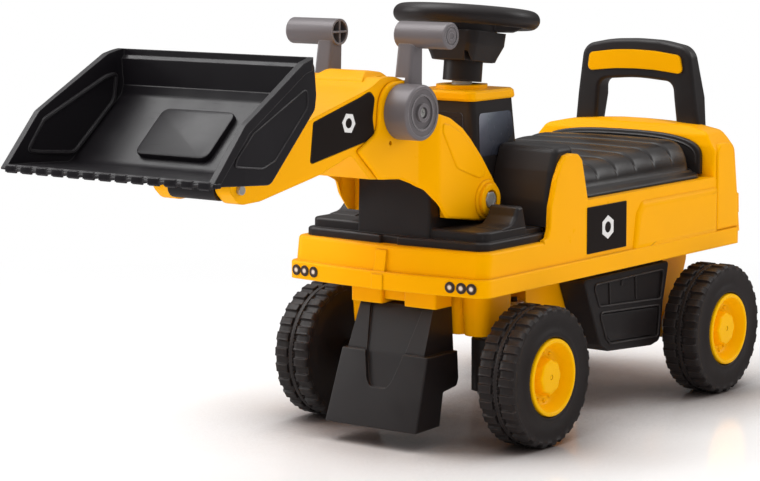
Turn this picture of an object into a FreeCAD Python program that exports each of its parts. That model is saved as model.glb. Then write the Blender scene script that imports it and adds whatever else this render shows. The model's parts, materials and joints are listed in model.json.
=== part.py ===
import FreeCAD, Part
import math, os

# Child's ride-on wheel loader, foot-to-floor type.
# Frame: +Z up, the front of the vehicle faces -Y, +X is the vehicle's left side.
# Origin: on the ground, under the centre of the overall box.
# Every y below is measured from the front axle; write() shifts the finished
# solids back by Y_SHIFT. Lengths are in mm.
#
# Outline tables hold (u, v) or (u, v, corner radius). Their two axes are those of the
# plane they are drawn in: 'yz' is the side view, 'xz' the front view, 'xy' the plan.

Vector = FreeCAD.Vector
ORIGIN = Vector(0, 0, 0)
X_AXIS, Z_AXIS = Vector(1, 0, 0), Vector(0, 0, 1)

# ---------------------------------------------------------------- driving dimensions
Y_SHIFT = 24.0
WHEEL_R = 67.0          # over the lugs
WHEEL_X = 100.0         # inner face of every tyre
REAR_Y = 329.0          # rear axle, so also the wheelbase
AXLE_Z = WHEEL_R
AXLE_R = 4.0
AXLE_END = 126.0
CLEARANCE = 0.08        # radial, on running bores

SKIRT_X, SKIRT_Y0, SKIRT_Y1 = 117.0, -75.3, 402.0
SKIRT_Z0, SKIRT_Z1 = 148.0, 165.0
BODY_X = 113.5
BODY_Z0 = 180.0         # hidden foot of the blocks that stand on the body
BOW = 11.2              # how far the middle of the front bows out past its corners
DECK_Z = 189.0
SEAT_Z = 222.0
WALL = 3.0

KINGPIN_X, KINGPIN_R = 66.0, 5.0
TIE_Y, TIE_Z = 47.0, 122.0      # tie rod, behind the kingpins

COLUMN_Y, COLUMN_Z = 60.0, 397.0    # centre of the steering wheel
COLUMN_TILT = 0.12                  # radians
COLUMN_R = 5.0
COLUMN_DIR = Vector(0, math.sin(COLUMN_TILT), math.cos(COLUMN_TILT))
COLUMN_TOP = Vector(0, COLUMN_Y, COLUMN_Z)

BOOM_Y, BOOM_Z = 8.5, 228.0         # boom pivot
BOOM_BOLT_R = 5.0
ELBOW_Y, ELBOW_Z = -113.0, 319.5    # elbow pivot, with the drums of the hand levers
ELBOW_R = 9.0
BUCKET_Y, BUCKET_Z = -331.0, 268.0  # bucket pivot
BUCKET_PIN_R = 4.0
HINGE_Y, HINGE_Z = 107.0, 226.5     # seat hinge
HINGE_R = 2.0

# sockets for the tongues of the backrest
SOCKET_X, SOCKET_Y, SOCKET_TOP = (52.0, 74.0), (374.0, 384.0), 280.0
SOCKET_GAP = 0.3


# ---------------------------------------------------------------- outlines
def to_space(plane, u, v, level):
    if plane == 'yz':
        return Vector(level, u, v)
    if plane == 'xz':
        return Vector(u, level, v)
    return Vector(u, v, level)


def corner_arc(before, point, after):
    """start, middle and end of the rounding at a point; the middle is None when sharp"""
    u, v = point[:2]
    radius = point[2] if len(point) > 2 else 0.0
    sharp = ((u, v), None, (u, v))
    if radius <= 0:
        return sharp
    u1, v1 = before[0] - u, before[1] - v
    u2, v2 = after[0] - u, after[1] - v
    length1, length2 = math.hypot(u1, v1), math.hypot(u2, v2)
    u1, v1, u2, v2 = u1 / length1, v1 / length1, u2 / length2, v2 / length2
    half = math.acos(max(-1, min(1, u1 * u2 + v1 * v2))) / 2
    if half > math.pi / 2 - 1e-3:
        return sharp
    setback = min(radius / math.tan(half), 0.48 * length1, 0.48 * length2)
    radius = setback * math.tan(half)
    reach = (radius / math.sin(half) - radius) / math.hypot(u1 + u2, v1 + v2)
    return ((u + u1 * setback, v + v1 * setback),
            (u + (u1 + u2) * reach, v + (v1 + v2) * reach),
            (u + u2 * setback, v + v2 * setback))


def outline(plane, points, level):
    """closed wire through the points, with their corners rounded"""
    count = len(points)
    arcs = [corner_arc(points[i - 1], points[i], points[(i + 1) % count]) for i in range(count)]
    edges = []
    for i, (start, middle, end) in enumerate(arcs):
        if middle is not None:
            edges.append(Part.Arc(*[to_space(plane, *p, level)
                                    for p in (start, middle, end)]).toShape())
        following = arcs[(i + 1) % count][0]
        if math.hypot(following[0] - end[0], following[1] - end[1]) > 1e-6:
            edges.append(Part.makeLine(to_space(plane, *end, level),
                                       to_space(plane, *following, level)))
    return Part.Wire(edges)


def corners(x0, x1, y0, y1, r0=0.0, r1=None):
    """rectangle; r0 rounds its y0 corners and r1 its y1 corners"""
    r1 = r0 if r1 is None else r1
    return [(x0, y0, r0), (x1, y0, r0), (x1, y1, r1), (x0, y1, r1)]


def rect(half_x, y0, y1, r0=0.0, r1=None):
    return corners(-half_x, half_x, y0, y1, r0, r1)


def flip(point):
    return (-point[0],) + tuple(point[1:])


def arch(half):
    """outline given from its -x end to the middle, continued to the +x end"""
    return half + [flip(p) for p in reversed(half) if p[0] != 0]


def two_sided(half):
    """outline given up its +x side, with the -x side added"""
    return [flip(half[0])] + half + [flip(p) for p in reversed(half[1:]) if p[0] != 0]


def bowed_plan(half_x, y0, y1, r_front, r_rear):
    """plan of the body, with the bowed front"""
    return [(-half_x, y0, r_front), (0, y0 - BOW * half_x / SKIRT_X, 3000),
            (half_x, y0, r_front), (half_x, y1, r_rear), (-half_x, y1, r_rear)]


# ---------------------------------------------------------------- solids
def prism(plane, points, start, end):
    face = Part.Face(outline(plane, points, start))
    return face.extrude(to_space(plane, 0, 0, end - start))


def loft(plane, *sections):
    """ruled solid through (points, level) sections"""
    return Part.makeLoft([outline(plane, pts, level) for pts, level in sections], True, True)


def rect_loft(rows):
    """ruled solid through rows of half width, y0, y1, z, corner radius"""
    return loft('xy', *[(rect(half_x, y0, y1, r), z) for half_x, y0, y1, z, r in rows])


def box(x0, x1, y0, y1, z0, z1):
    return Part.makeBox(x1 - x0, y1 - y0, z1 - z0, Vector(x0, y0, z0))


def cylx(radius, x0, x1, y, z):
    return Part.makeCylinder(radius, x1 - x0, Vector(x0, y, z), X_AXIS)


def cylz(radius, x, y, z0, z1):
    return Part.makeCylinder(radius, z1 - z0, Vector(x, y, z0), Z_AXIS)


def polygon_prism(points, length):
    """polygon of vectors, extruded along X"""
    return Part.Face(Part.makePolygon(points + [points[0]])).extrude(Vector(length, 0, 0))


def revolve_x(profile):
    """closed (x, radius) profile turned about the X axis"""
    points = [Vector(x, 0, radius) for x, radius in profile]
    face = Part.Face(Part.makePolygon(points + [points[0]]))
    return face.revolve(ORIGIN, X_AXIS, 360)


def column_cyl(radius, start, end):
    """cylinder on the steering column, by distances along it from the wheel centre"""
    return Part.makeCylinder(radius, end - start, COLUMN_TOP + COLUMN_DIR * start, COLUMN_DIR)


def on_column(shape):
    """moves a shape drawn about the Z axis at the origin onto the column"""
    shape = shape.copy()
    shape.rotate(ORIGIN, X_AXIS, -math.degrees(COLUMN_TILT))
    shape.translate(COLUMN_TOP)
    return shape


def fuse(first, *rest):
    return first.fuse(list(rest)).removeSplitter()


def mirror(shape):
    return shape.mirror(ORIGIN, X_AXIS)


def both(shape):
    return [shape, mirror(shape)]


def biggest(shape):
    return max(shape.Solids, key=lambda solid: solid.Volume)


def mid(edge):
    return edge.CenterOfMass


def at_x(x, above=-math.inf):
    """picks edges centred at +x or -x, higher than above"""
    return lambda edge: abs(abs(mid(edge).x) - x) < 0.05 and mid(edge).z > above


def at_z(z):
    return lambda edge: (all(abs(v.Point.z - z) < 0.05 for v in edge.Vertexes)
                         and abs(mid(edge).z - z) < 0.05)


def soft(shape, radius, pick):
    """rounds the picked edges, at a smaller radius when the full one can't be built"""
    edges = [edge for edge in shape.Edges if pick(edge)]
    if not edges:
        return shape
    for share in (1.0, 0.7, 0.45, 0.25):
        # guards against a fillet that can't be built at this radius
        try:
            rounded = shape.makeFillet(radius * share, edges)
            if (rounded.isValid() and rounded.Volume > 0
                    and abs(rounded.Volume - shape.Volume) < 0.2 * shape.Volume):
                return rounded
        except Exception:
            pass
    return shape


# ---------------------------------------------------------------- output
os.makedirs("parts", exist_ok=True)


def write(name, *shapes):
    solids = []
    for shape in shapes:
        for solid in (shape.Solids if shape.ShapeType != 'Solid' else [shape]):
            solid = solid.copy()
            solid.translate(Vector(0, Y_SHIFT, 0))
            solids.append(solid)
    piece = solids[0] if len(solids) == 1 else Part.makeCompound(solids)
    piece.exportStep("parts/%s.step" % name)


def write_pair(name, left):
    write(name + '_left', left)
    write(name + '_right', mirror(left))


# ================================================================ BODY SHELL
# side views, y z radius
WING_SIDE = [(28, BODY_Z0), (28, 190.5), (34, 191.5, 3), (38, 200, 3), (39.5, 221, 6),
             (48, 246, 10), (57, 261, 6), (64, 268, 4), (74, 269.5, 4), (86, 268, 6),
             (93, 262, 6), (104, 221.5, 4), (112, 221.5), (112, BODY_Z0)]
REAR_SIDE = [(340, BODY_Z0), (345.3, SEAT_Z, 1), (346.2, 254, 6), (349.5, 265, 6),
             (358, 273.5, 8), (370, 277.5, 10), (381, 275, 8), (388, 260, 10),
             (391.5, 243, 10), (402, 166), (402, 160), (340, 160)]
REAR_HOLLOW_SIDE = [(349.5, 210), (350, 225), (350.5, 254), (360, 268, 4), (377, 270, 4),
                    (384, 256), (388, 240), (390, 210)]
SIDE_PANEL = [(190, 166), (196, 198, 6), (204, 206.5, 7), (347.5, 206.5, 4), (347.5, 166)]
PILASTER = [(351, 166), (351, 246, 4), (356, 256, 8), (378, 256, 8), (386, 246, 8),
            (396, 166)]
# front view, x z radius
REAR_FRONT = two_sided([(BODY_X, 150), (BODY_X - 0.6, 250, 12), (100, 268, 12),
                        (76, 273.0, 30), (0, 278, 300)])
PANEL_PROUD, PILASTER_PROUD = 2.6, 1.6
PANEL_FOOT_X = 100.0
BAND_X = 6.5            # half width of the raised bands down the middle of the front


def rear_wall():
    """raised wall behind the seat, before its edges are rounded"""
    side = prism('yz', REAR_SIDE, -BODY_X - 1, BODY_X + 1)
    return side.common(prism('xz', REAR_FRONT, 300, 410))


def body_hollows():
    rear = prism('yz', REAR_HOLLOW_SIDE, -90, 90).common(
        prism('xz', two_sided([(90, 200), (90, 254), (76, 266)]), 330, 400))
    return [
        prism('xy', bowed_plan(SKIRT_X - WALL, SKIRT_Y0 + WALL, SKIRT_Y1 - WALL, 11, 11),
              SKIRT_Z0 - 5, SKIRT_Z1 - WALL),
        prism('xy', bowed_plan(BODY_X - WALL, -63.8, 394, 10, 9), SKIRT_Z1 - 4, DECK_Z - WALL),
        box(-109, 109, 90, 386, DECK_Z - 4, SEAT_Z - WALL),
        rear,
        column_cyl(9.0, -260, -180),
        # opening for the storage tray
        prism('xy', rect(80, 126, 318, 10), SEAT_Z - 6, SEAT_Z + 2),
    ]


def body_shell():
    skirt = prism('xy', bowed_plan(SKIRT_X, SKIRT_Y0, SKIRT_Y1, 14, 14), SKIRT_Z0, SKIRT_Z1)
    skirt = soft(skirt, 2.0, at_z(SKIRT_Z1))
    tub = loft('xy', (bowed_plan(BODY_X, -71.6, 398, 13, 12), SKIRT_Z1 - 6),
               (bowed_plan(BODY_X, -67.0, 398, 13, 12), DECK_Z))
    tub = soft(tub, 3.5, at_z(DECK_Z))
    front_band = prism('yz', [(-82.0, SKIRT_Z1 - 3), (-77.9, DECK_Z - 4, 1),
                              (-70, DECK_Z - 4), (-70, SKIRT_Z1 - 3)], -BAND_X, BAND_X)
    skirt_band = box(-BAND_X, BAND_X, -84.9, -75, SKIRT_Z0, SKIRT_Z1 - 2.5)
    seat_block = prism('yz', [(86, BODY_Z0), (86, SEAT_Z), (345, SEAT_Z), (398, 200),
                              (399, BODY_Z0)], -BODY_X, BODY_X)
    wing = prism('yz', WING_SIDE, 108, BODY_X)
    wing = soft(wing, 1.6, lambda edge: at_x(BODY_X, 200)(edge) and mid(edge).y < 110)
    rear = soft(rear_wall(), 3.0, lambda edge: (mid(edge).z > 225 and edge.Length > 12
                                                and mid(edge).y > 340))
    panel = prism('yz', SIDE_PANEL, PANEL_FOOT_X, BODY_X + PANEL_PROUD)
    panel = soft(panel, 2.2, at_x(BODY_X + PANEL_PROUD))
    pilaster = prism('yz', PILASTER, PANEL_FOOT_X, BODY_X + PILASTER_PROUD)
    pilaster = soft(pilaster, 1.5, at_x(BODY_X + PILASTER_PROUD))
    body = fuse(skirt, tub, front_band, skirt_band, seat_block, *both(wing), rear,
                *both(panel), *both(pilaster))
    body = body.cut(body_hollows())
    for socket in both(box(*SOCKET_X, *SOCKET_Y, 262, SOCKET_TOP)):
        body = body.cut(socket)
    return body


write('body_shell', body_shell())

# round marker lamps on the front skirt: a ring and a lens each
LAMP_X = [side * x for x in (80.5, 92.4, 103.3) for side in (1, -1)]
LAMP_Z = 156.5
RING_DEPTH = 0.8


def lamp_disc(x, radius, depth, inset=0.0):
    """disc square to the bowed front, starting inset behind its face"""
    outward = Vector(math.copysign(BOW / SKIRT_X, x), -1, 0)
    outward.normalize()
    front_y = SKIRT_Y0 - BOW + BOW * abs(x) / SKIRT_X
    return Part.makeCylinder(radius, depth, Vector(x, front_y, LAMP_Z) - outward * inset,
                             outward)


write('lamp_rings', *[lamp_disc(x, 5.2, RING_DEPTH).cut(lamp_disc(x, 3.4, RING_DEPTH + 4, 2))
                      for x in LAMP_X])
write('lamp_lenses', *[lamp_disc(x, 3.35, 1.1) for x in LAMP_X])
BADGE = [(101.5, 169, 1), (101.5, 214.5, 1), (172.5, 214.5, 1), (172.5, 169, 1)]
write('side_badges', *both(prism('yz', BADGE, BODY_X, BODY_X + 0.8)))

# ================================================================ LOWER CHASSIS
TRAY_X = 69.0           # half width of the deep middle of the chassis
HOUSING_Z = 101.0       # underside of the kingpin housings
# side views, y z radius
BELLY = [(62, SKIRT_Z0 + 1), (62, 121, 6), (178, 100, 20), (354, 100, 10), (366, 130, 8),
         (368, SKIRT_Z0 + 1)]
BELLY_INSIDE = [(65, SKIRT_Z0 + 5), (65, 123, 4), (178, 103, 18), (351.5, 103, 7),
                (362, 131, 6), (364.5, SKIRT_Z0 + 5)]
AXLE_BRACKET = [(306, 110), (306, 60, 10), (316, 52, 10), (342, 52, 10), (352, 60, 10),
                (352, 110)]


def kingpin_housing():
    """left housing: the kingpin block and a narrower block on its inner side"""
    top = SKIRT_Z0 + 1
    housing = fuse(
        loft('xy', (corners(52, 80, -24, 24, 12, 9), HOUSING_Z),
             (corners(50, 82, -27, 26, 13, 10), top)),
        loft('xy', (corners(35.5, 53, -22.5, 20, 8.5, 5), HOUSING_Z),
             (corners(33, 54, -25, 22, 9.5, 6), top)))
    housing = soft(housing, 1.5, at_z(HOUSING_Z))
    return housing.cut([cylz(KINGPIN_R, KINGPIN_X, 0, 90, 144),
                        box(39, 49, -18.5, 18, 90, 142)])


def lower_chassis():
    plate = prism('xy', bowed_plan(SKIRT_X - 3.4, SKIRT_Y0 + 3.4, SKIRT_Y1 - 4, 11, 10),
                  SKIRT_Z0 + 0.5, SKIRT_Z0 + 3.5)
    belly = prism('yz', BELLY, -TRAY_X, TRAY_X)
    belly_inside = prism('yz', BELLY_INSIDE, -TRAY_X + WALL, TRAY_X - WALL)
    lips = [soft(box(x0, x1, -60, -34, 130, SKIRT_Z0 + 1), 2.5,
                 lambda edge: abs(mid(edge).y + 60) < 0.1 and abs(mid(edge).z - 139) < 6)
            for x0, x1 in ((-50, -13), (13, 50))]
    lips.append(box(-12.9, 12.9, -55, -34, 134, SKIRT_Z0 + 1))
    bracket = prism('yz', AXLE_BRACKET, 58, TRAY_X)
    chassis = fuse(plate, belly, *both(kingpin_housing()), *lips, *both(bracket))
    chassis = chassis.cut([belly_inside, cylx(9.0, 50, 75, REAR_Y, AXLE_Z),
                           cylx(9.0, -75, -50, REAR_Y, AXLE_Z)])
    chassis = chassis.cut([column_cyl(14.0, -262, -224)])
    column_seat = column_cyl(16.0, -246, -228).common(
        box(-40, 40, -40, 80, SKIRT_Z0 + 0.5, SKIRT_Z0 + 12))
    return fuse(chassis, column_seat).cut(column_cyl(8.0, -270, -200))


write('lower_chassis', lower_chassis())

# ================================================================ FRONT GUARD
# Each half is a side view (y z radius) crossed with a front view (x z).
GUARD_TOP_SIDE = [(-72, 80), (-44, 80), (-24.3, 86), (-24.3, 129.5), (-53.5, 129.5, 1),
                  (-70.5, 88, 1)]
GUARD_TOP_FRONT = two_sided([(46.5, 70), (45.0, 89), (42.8, 132)])
GUARD_LOW_SIDE = [(-96.5, 17.7, 1), (-58, 19, 2), (-50, 50, 2), (-28, 53, 3),
                  (-24.5, 60, 2), (-24.5, 86.5, 1), (-73.5, 86.5, 1)]
GUARD_LOW_FRONT = two_sided([(54.5, 10), (50.5, 90)])
HOLLOW_LOW_SIDE = [(-93, 14), (-56, 14), (-47, 47), (-20, 50), (-10, 60), (-10, 83.5),
                   (-70.5, 83.5)]
HOLLOW_LOW_FRONT = two_sided([(51.5, 0), (47.5, 90)])
HOLLOW_TOP_SIDE = [(-68.5, 80), (-10, 80), (-10, 126.5), (-51.5, 126.5), (-67.5, 88)]
HOLLOW_TOP_FRONT = two_sided([(43.5, 70), (42.0, 89), (39.8, 132)])
# channel sunk in the front face: its front view, the front view of the wall
# behind it, and the y z slope of its floor
CHANNEL = arch([(-31.5, 135), (-31, 127, 3), (-21.5, 82, 30), (-14.5, 60, 10), (-9, 54, 7)])
CHANNEL_WALL = arch([(-35, 129.4), (-24, 80), (-17, 56), (-10, 50.5)])
CHANNEL_SLOPE = [(-93.0, 17.7), (-69.2, 87), (-50.8, 129.5)]
CHANNEL_WALL_THICK = 3.5


def front_guard():
    def crossed(side, front, half_x, y_end=0):
        return prism('yz', side, -half_x, half_x).common(prism('xz', front, -110, y_end))

    def front_edge(edge):
        return mid(edge).y < -50 and edge.Length > 15 and abs(mid(edge).x) > 30

    top = soft(crossed(GUARD_TOP_SIDE, GUARD_TOP_FRONT, 60), 1.8, front_edge)
    low = soft(crossed(GUARD_LOW_SIDE, GUARD_LOW_FRONT, 70), 1.6, front_edge)
    guard = fuse(top, low)
    ahead = [(-110, 17.7)] + CHANNEL_SLOPE + [(-50.8, 140), (-110, 140)]
    channel = prism('xz', CHANNEL, -110, 0).common(prism('yz', ahead, -60, 60))
    wall_side = ([CHANNEL_SLOPE[0]] + [(y + CHANNEL_WALL_THICK, z) for y, z in CHANNEL_SLOPE]
                 + CHANNEL_SLOPE[:0:-1])
    channel_wall = prism('xz', CHANNEL_WALL, -110, 0).common(prism('yz', wall_side, -60, 60))
    guard = guard.cut([crossed(HOLLOW_LOW_SIDE, HOLLOW_LOW_FRONT, 70, 10),
                       crossed(HOLLOW_TOP_SIDE, HOLLOW_TOP_FRONT, 60, 10)])
    return biggest(fuse(guard, channel_wall).cut(channel))


write('front_guard', front_guard())

# ================================================================ SIDE STEPS
STEP_X = 100.5          # outer face
# side views, y z radius
STEP_OUTSIDE = [(117, 141, 4), (279, 141, 4), (268, 98, 8), (263, 60, 8), (246, 57, 8),
                (163, 63, 12), (148, 72, 8), (128, 116, 8)]
STEP_INSIDE = [(121, 139), (275, 139), (264.5, 99, 6), (259.5, 63, 6), (246, 60.5, 6),
               (164, 66.5, 10), (151.5, 74, 6), (131.5, 116, 6)]
UPPER_RECESS = [(135, 133, 5), (267, 133, 5), (261, 103, 5), (146, 110, 5)]
LOWER_RECESS = [(146, 104, 5), (260, 97, 5), (256, 66, 5), (166, 71, 8), (158, 78, 5)]
STEP_PAD = [(170, 96, 3), (210, 93.5, 3), (208, 78, 3), (172, 80, 3)]


def side_step():
    outside = prism('yz', STEP_OUTSIDE, 70, STEP_X)
    outside = soft(outside, 2.2, at_x(STEP_X))
    step = outside.cut([prism('yz', STEP_INSIDE, 66, STEP_X - WALL),
                        prism('yz', UPPER_RECESS, 98.6, 102),
                        prism('yz', LOWER_RECESS, 98.6, 102)])
    step = fuse(step, prism('yz', STEP_PAD, 98.5, 100.0))
    flange = box(70, 96, 124, 272, 141.0, 148.4)
    step = fuse(step, flange.cut(box(66, 92, 128, 268, 139, 150)))
    return biggest(step)


write_pair('side_step', side_step())

# ================================================================ FRONT DECK
LOWER_TIER_Z, UPPER_TIER_Z = 197.0, 206.0
PEDESTAL_X, PEDESTAL_BACK = 42.6, 15.9
FIN_X = 103.0           # outer face of the fins and of the upper tier
LOWER_TIER = (arch([(-106.5, -61.5, 12), (-10, -66.5, 2), (-9, -62.5, 1)])
              + [(106.5, 40), (-106.5, 40)])
# side views, y z radius
PEDESTAL = [(-59.5, 196), (-57.5, 256, 6), (-46, 263, 8), (PEDESTAL_BACK, 263),
            (PEDESTAL_BACK, 196)]
FIN = [(-24, 200), (-24, 206.4), (-10, 208.5, 10), (-3, 216, 6), (0.5, 224.5, 3),
       (9.5, 225, 3), (12, 218), (12, 200)]


def front_deck():
    deck = prism('xy', LOWER_TIER, DECK_Z, LOWER_TIER_Z)
    deck = soft(deck, 2.6, at_z(LOWER_TIER_Z))
    upper = prism('xy', rect(FIN_X, -56.5, 12, 12, 0), 195, UPPER_TIER_Z)
    upper = soft(upper, 2.6, at_z(UPPER_TIER_Z))
    rear_tier = box(-101, 101, 11, 40, 195, 201.5)
    pedestal = prism('yz', PEDESTAL, -PEDESTAL_X, PEDESTAL_X)
    pedestal = soft(pedestal, 3.0, lambda edge: (at_x(PEDESTAL_X, 208)(edge)
                                                 and abs(mid(edge).y - PEDESTAL_BACK) > 0.5))
    fin = soft(prism('yz', FIN, 72, FIN_X), 2.6, at_x(FIN_X, 207))
    for block in (upper, rear_tier, pedestal, fin, mirror(fin)):
        deck = deck.fuse(block)
    deck = deck.removeSplitter()
    for hollow in (box(-99, 99, -53.0, 9, DECK_Z - 1, UPPER_TIER_Z - WALL),
                   box(-99, 99, 8, 37.5, DECK_Z - 1, 198.5),
                   box(-38.5, 38.5, -54.0, 16, 198, 253),
                   cylx(BOOM_BOLT_R + 0.03, -48, 48, BOOM_Y, BOOM_Z),
                   column_cyl(9.0, -225, -100)):
        deck = deck.cut(hollow)
    return biggest(deck)


write('front_deck', front_deck())

# ================================================================ COWL BLOCK, ahead of the seat
COWL_X = 107.9
# side views, y z radius
COWL = [(40.3, 201.6), (41, 215, 6), (47.5, 246, 12), (53.5, 266, 6), (60, 275.5, 5),
        (74, 277, 5), (83, 276, 4), (92, 258, 6), (101.5, 224.5), (101.5, 222.1),
        (85.9, 222.1), (85.9, 201.6)]
COWL_INSIDE = [(44, 195), (44.5, 215), (51, 245), (58, 267), (64, 272.5), (74, 273),
               (80, 270), (88, 256), (85.9, 226), (83, 222), (83, 195)]


def cowl_block():
    cowl = soft(prism('yz', COWL, -COWL_X, COWL_X), 2.6, at_x(COWL_X, 228))
    console_gap = prism('xy', rect(42.2, 30, 92.2), 195, 300)
    return biggest(cowl.cut([prism('yz', COWL_INSIDE, -104, 104), console_gap]))


write('cowl_block', cowl_block())

# ================================================================ CONSOLE
# rows of half width, front y, rear y, z, corner radius
TOWER = [(41.6, 16.1, 92.0, 206.05, 7), (41.0, 16.3, 91.5, 262, 7), (37.0, 17.5, 88, 318.9, 7)]
TOWER_INSIDE = [(38.6, 19.1, 89.0, 203, 5), (38.0, 19.3, 88.5, 262, 5),
                (34.2, 20.3, 85.2, 315.9, 5)]
CAP = [(38.2, 14.8, 90.2, 319.0, 8), (39.2, 14.0, 91.0, 321.0, 8),
       (38.4, 14.6, 90.4, 326.5, 8), (36.5, 16.4, 88.6, 328.5, 8)]
SIDE_WINDOW = [(24, 266, 3), (27, 307, 5), (80, 307, 5), (84, 286, 5), (62, 270, 5),
               (54, 266, 4)]
FRONT_WINDOW = two_sided([(28, 268, 4), (26, 308, 4)])
WINDOW_THICK = 0.45


def console_tower():
    tower = rect_loft(TOWER)
    tower = tower.cut([rect_loft(TOWER_INSIDE), column_cyl(9.5, -100, -60),
                       box(-37, 37, 10, 30, 200, 206.7)])
    # the foot stands on the deck in front and on the shell behind
    return tower.cut([box(-60, 60, 40.1, 100, 200, 206.7),
                      box(-60, 60, 85.9, 100, 200, 222.1)])


def console_cap():
    collar = column_cyl(25.0, -72, -62.5).common(box(-60, 60, 0, 120, 320, 332.5))
    cap = fuse(rect_loft(CAP), collar)
    return cap.cut([column_cyl(10.0, -110, -50), prism('xy', rect(33, 20, 85, 5), 315, 324)])


def upper_tower(side=0.0, front=0.0):
    """upper stage of the tower, grown at the sides or the front"""
    return rect_loft([(half_x + side, y0 - front, y1, z, r)
                      for half_x, y0, y1, z, r in TOWER[1:]])


def console_windows():
    """thin panes on the left, right and front faces"""
    tower = upper_tower()
    pane = biggest(prism('yz', SIDE_WINDOW, 20, 60).common(
        upper_tower(side=WINDOW_THICK).cut(tower)))
    front = prism('xz', FRONT_WINDOW, 10, 30).common(
        upper_tower(front=WINDOW_THICK).cut(tower))
    return both(pane) + [biggest(front)]


write('console_tower', console_tower())
write('console_cap', console_cap())
write('console_windows', *console_windows())

# ================================================================ BACKREST / PUSH HANDLE
# front views, x z radius
FRAME_OUTSIDE = arch([(-77.5, 270.5), (-66.5, 353.5, 17), (-32, 360.3, 120), (0, 361.5, 200)])
FRAME_OPENING = arch([(-50.5, 262), (-45.3, 316.5, 11), (0, 320, 200)])
BACK_PANEL = (arch([(-59.5, 325.3, 5), (-56, 345.3, 6), (-25, 349.2, 120), (0, 350, 200)])
              + [(25, 328.9, 120), (0, 329.6, 200), (-25, 328.9, 120)])
# side views, y z: the leaning frame, all that lies behind the pocket floor,
# and all that lies behind the face of the panel
FRAME_LEAN = [(366, 262), (373.5, 262), (371.5, 300), (368.5, 362), (386, 362), (396, 300),
              (392, 268), (392, 262)]
BEHIND_POCKET = [(376, 262), (376, 266), (373.5, 300), (370.3, 362), (392, 362), (392, 262)]
BEHIND_PANEL_FACE = [(371.0, 300), (367.7, 362), (392, 362), (392, 300)]


def backrest_frame():
    frame = prism('xz', FRAME_OUTSIDE, 371.5, 396)
    frame = frame.cut(prism('xz', FRAME_OPENING, 360, 410))
    frame = frame.common(prism('yz', FRAME_LEAN, -100, 100))
    frame = soft(frame, 4.5, lambda edge: edge.Length > 15 and mid(edge).z > 285)
    frame = frame.cut(rear_wall()).cut(box(-120, 120, 300, 420, 200, 266))
    tongue = box(SOCKET_X[0] + SOCKET_GAP, SOCKET_X[1] - SOCKET_GAP,
                 SOCKET_Y[0] + SOCKET_GAP, SOCKET_Y[1] - SOCKET_GAP, 264, SOCKET_TOP)
    frame = fuse(biggest(frame), *both(tongue))
    pocket_view = [(x, z, 5 if radius < 10 else radius) for x, z, radius in BACK_PANEL]
    pocket = prism('xz', pocket_view, 360, 380).cut(prism('yz', BEHIND_POCKET, -100, 100))
    return biggest(frame.cut(pocket))


def backrest_panel():
    panel = prism('xz', BACK_PANEL, 360, 380)
    panel = panel.common(prism('yz', BEHIND_PANEL_FACE, -100, 100))
    return biggest(panel.cut(prism('yz', BEHIND_POCKET, -100, 100)))


write('backrest_frame', backrest_frame())
write('backrest_panel', backrest_panel())


# ================================================================ STORAGE TRAY under the seat
def storage_tray():
    outside = prism('xy', rect(79.5, 126.5, 317.5, 9.5), 158, SEAT_Z)
    rim = prism('xy', rect(83, 123, 321, 10), SEAT_Z, SEAT_Z + 1.5)
    inside = prism('xy', rect(77, 129, 315, 7), 160.5, SEAT_Z + 5)
    return fuse(outside, rim).cut(inside)


write('storage_tray', storage_tray())

# ================================================================ SEAT LID
# Swings up about its front edge: a sloping flange all round, then a crowned pad.
# rows of y, half width at the foot, half width at the top, z of the crown, z of the shoulder
PAD_ROWS = [(116.5, 92.5, 84, 241, 237.5), (118.5, 94, 85, 247, 243),
            (122.5, 95.8, 86, 250.5, 246.5), (130, 97, 86.5, 252, 248),
            (170, 97, 86.5, 254.5, 249.8), (240, 97, 86.5, 258, 252.3),
            (300, 97, 86, 261, 254.6), (318, 96, 84.5, 261.8, 255),
            (329, 93.5, 81.5, 262, 255), (336, 90, 77.5, 261, 253.5),
            (339.8, 86.5, 74, 258, 250)]
PAD_WALL = 3.6
GROOVE_COUNT, GROOVE_Y0, GROOVE_PITCH = 6, 146.0, 35.5
KNUCKLE_X = (52.0, 70.0)
HINGE_LUGS_X = ((47.5, 51.5), (70.5, 74.5))


def pad_loft(rows, inset=0.0):
    foot_z = SEAT_Z if inset else SEAT_Z + 6.0
    return loft('xz', *[(arch([(-foot + inset, foot_z), (-foot + 1.2 + inset, SEAT_Z + 9),
                               (-top + inset * 1.3, shoulder_z - inset, 9),
                               (-30, crown_z - inset, 160)]), y)
                        for y, foot, top, crown_z, shoulder_z in rows])


def seat_groove(y):
    """wedge across the pad, less the core that sets the depth of the groove"""
    crown_z = 253.0 + (y - GROOVE_Y0) * 0.045
    shoulder_z = 248.5 + (y - GROOVE_Y0) * 0.038
    wedge = prism('yz', [(y - 2.4, 290), (y - 0.8, 215), (y + 0.8, 215), (y + 2.4, 290)],
                  -110, 110)
    section = arch([(-94.5, SEAT_Z + 5), (-93.8, SEAT_Z + 8.5), (-84.0, shoulder_z - 1.9, 9),
                    (-30, crown_z - 2.0, 160)])
    core = loft('xz', (section, y - 4), (section, y + 4))
    return wedge.cut(fuse(core, box(-110, 110, y - 5, y + 5, 200, SEAT_Z + 7.2)))


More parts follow.
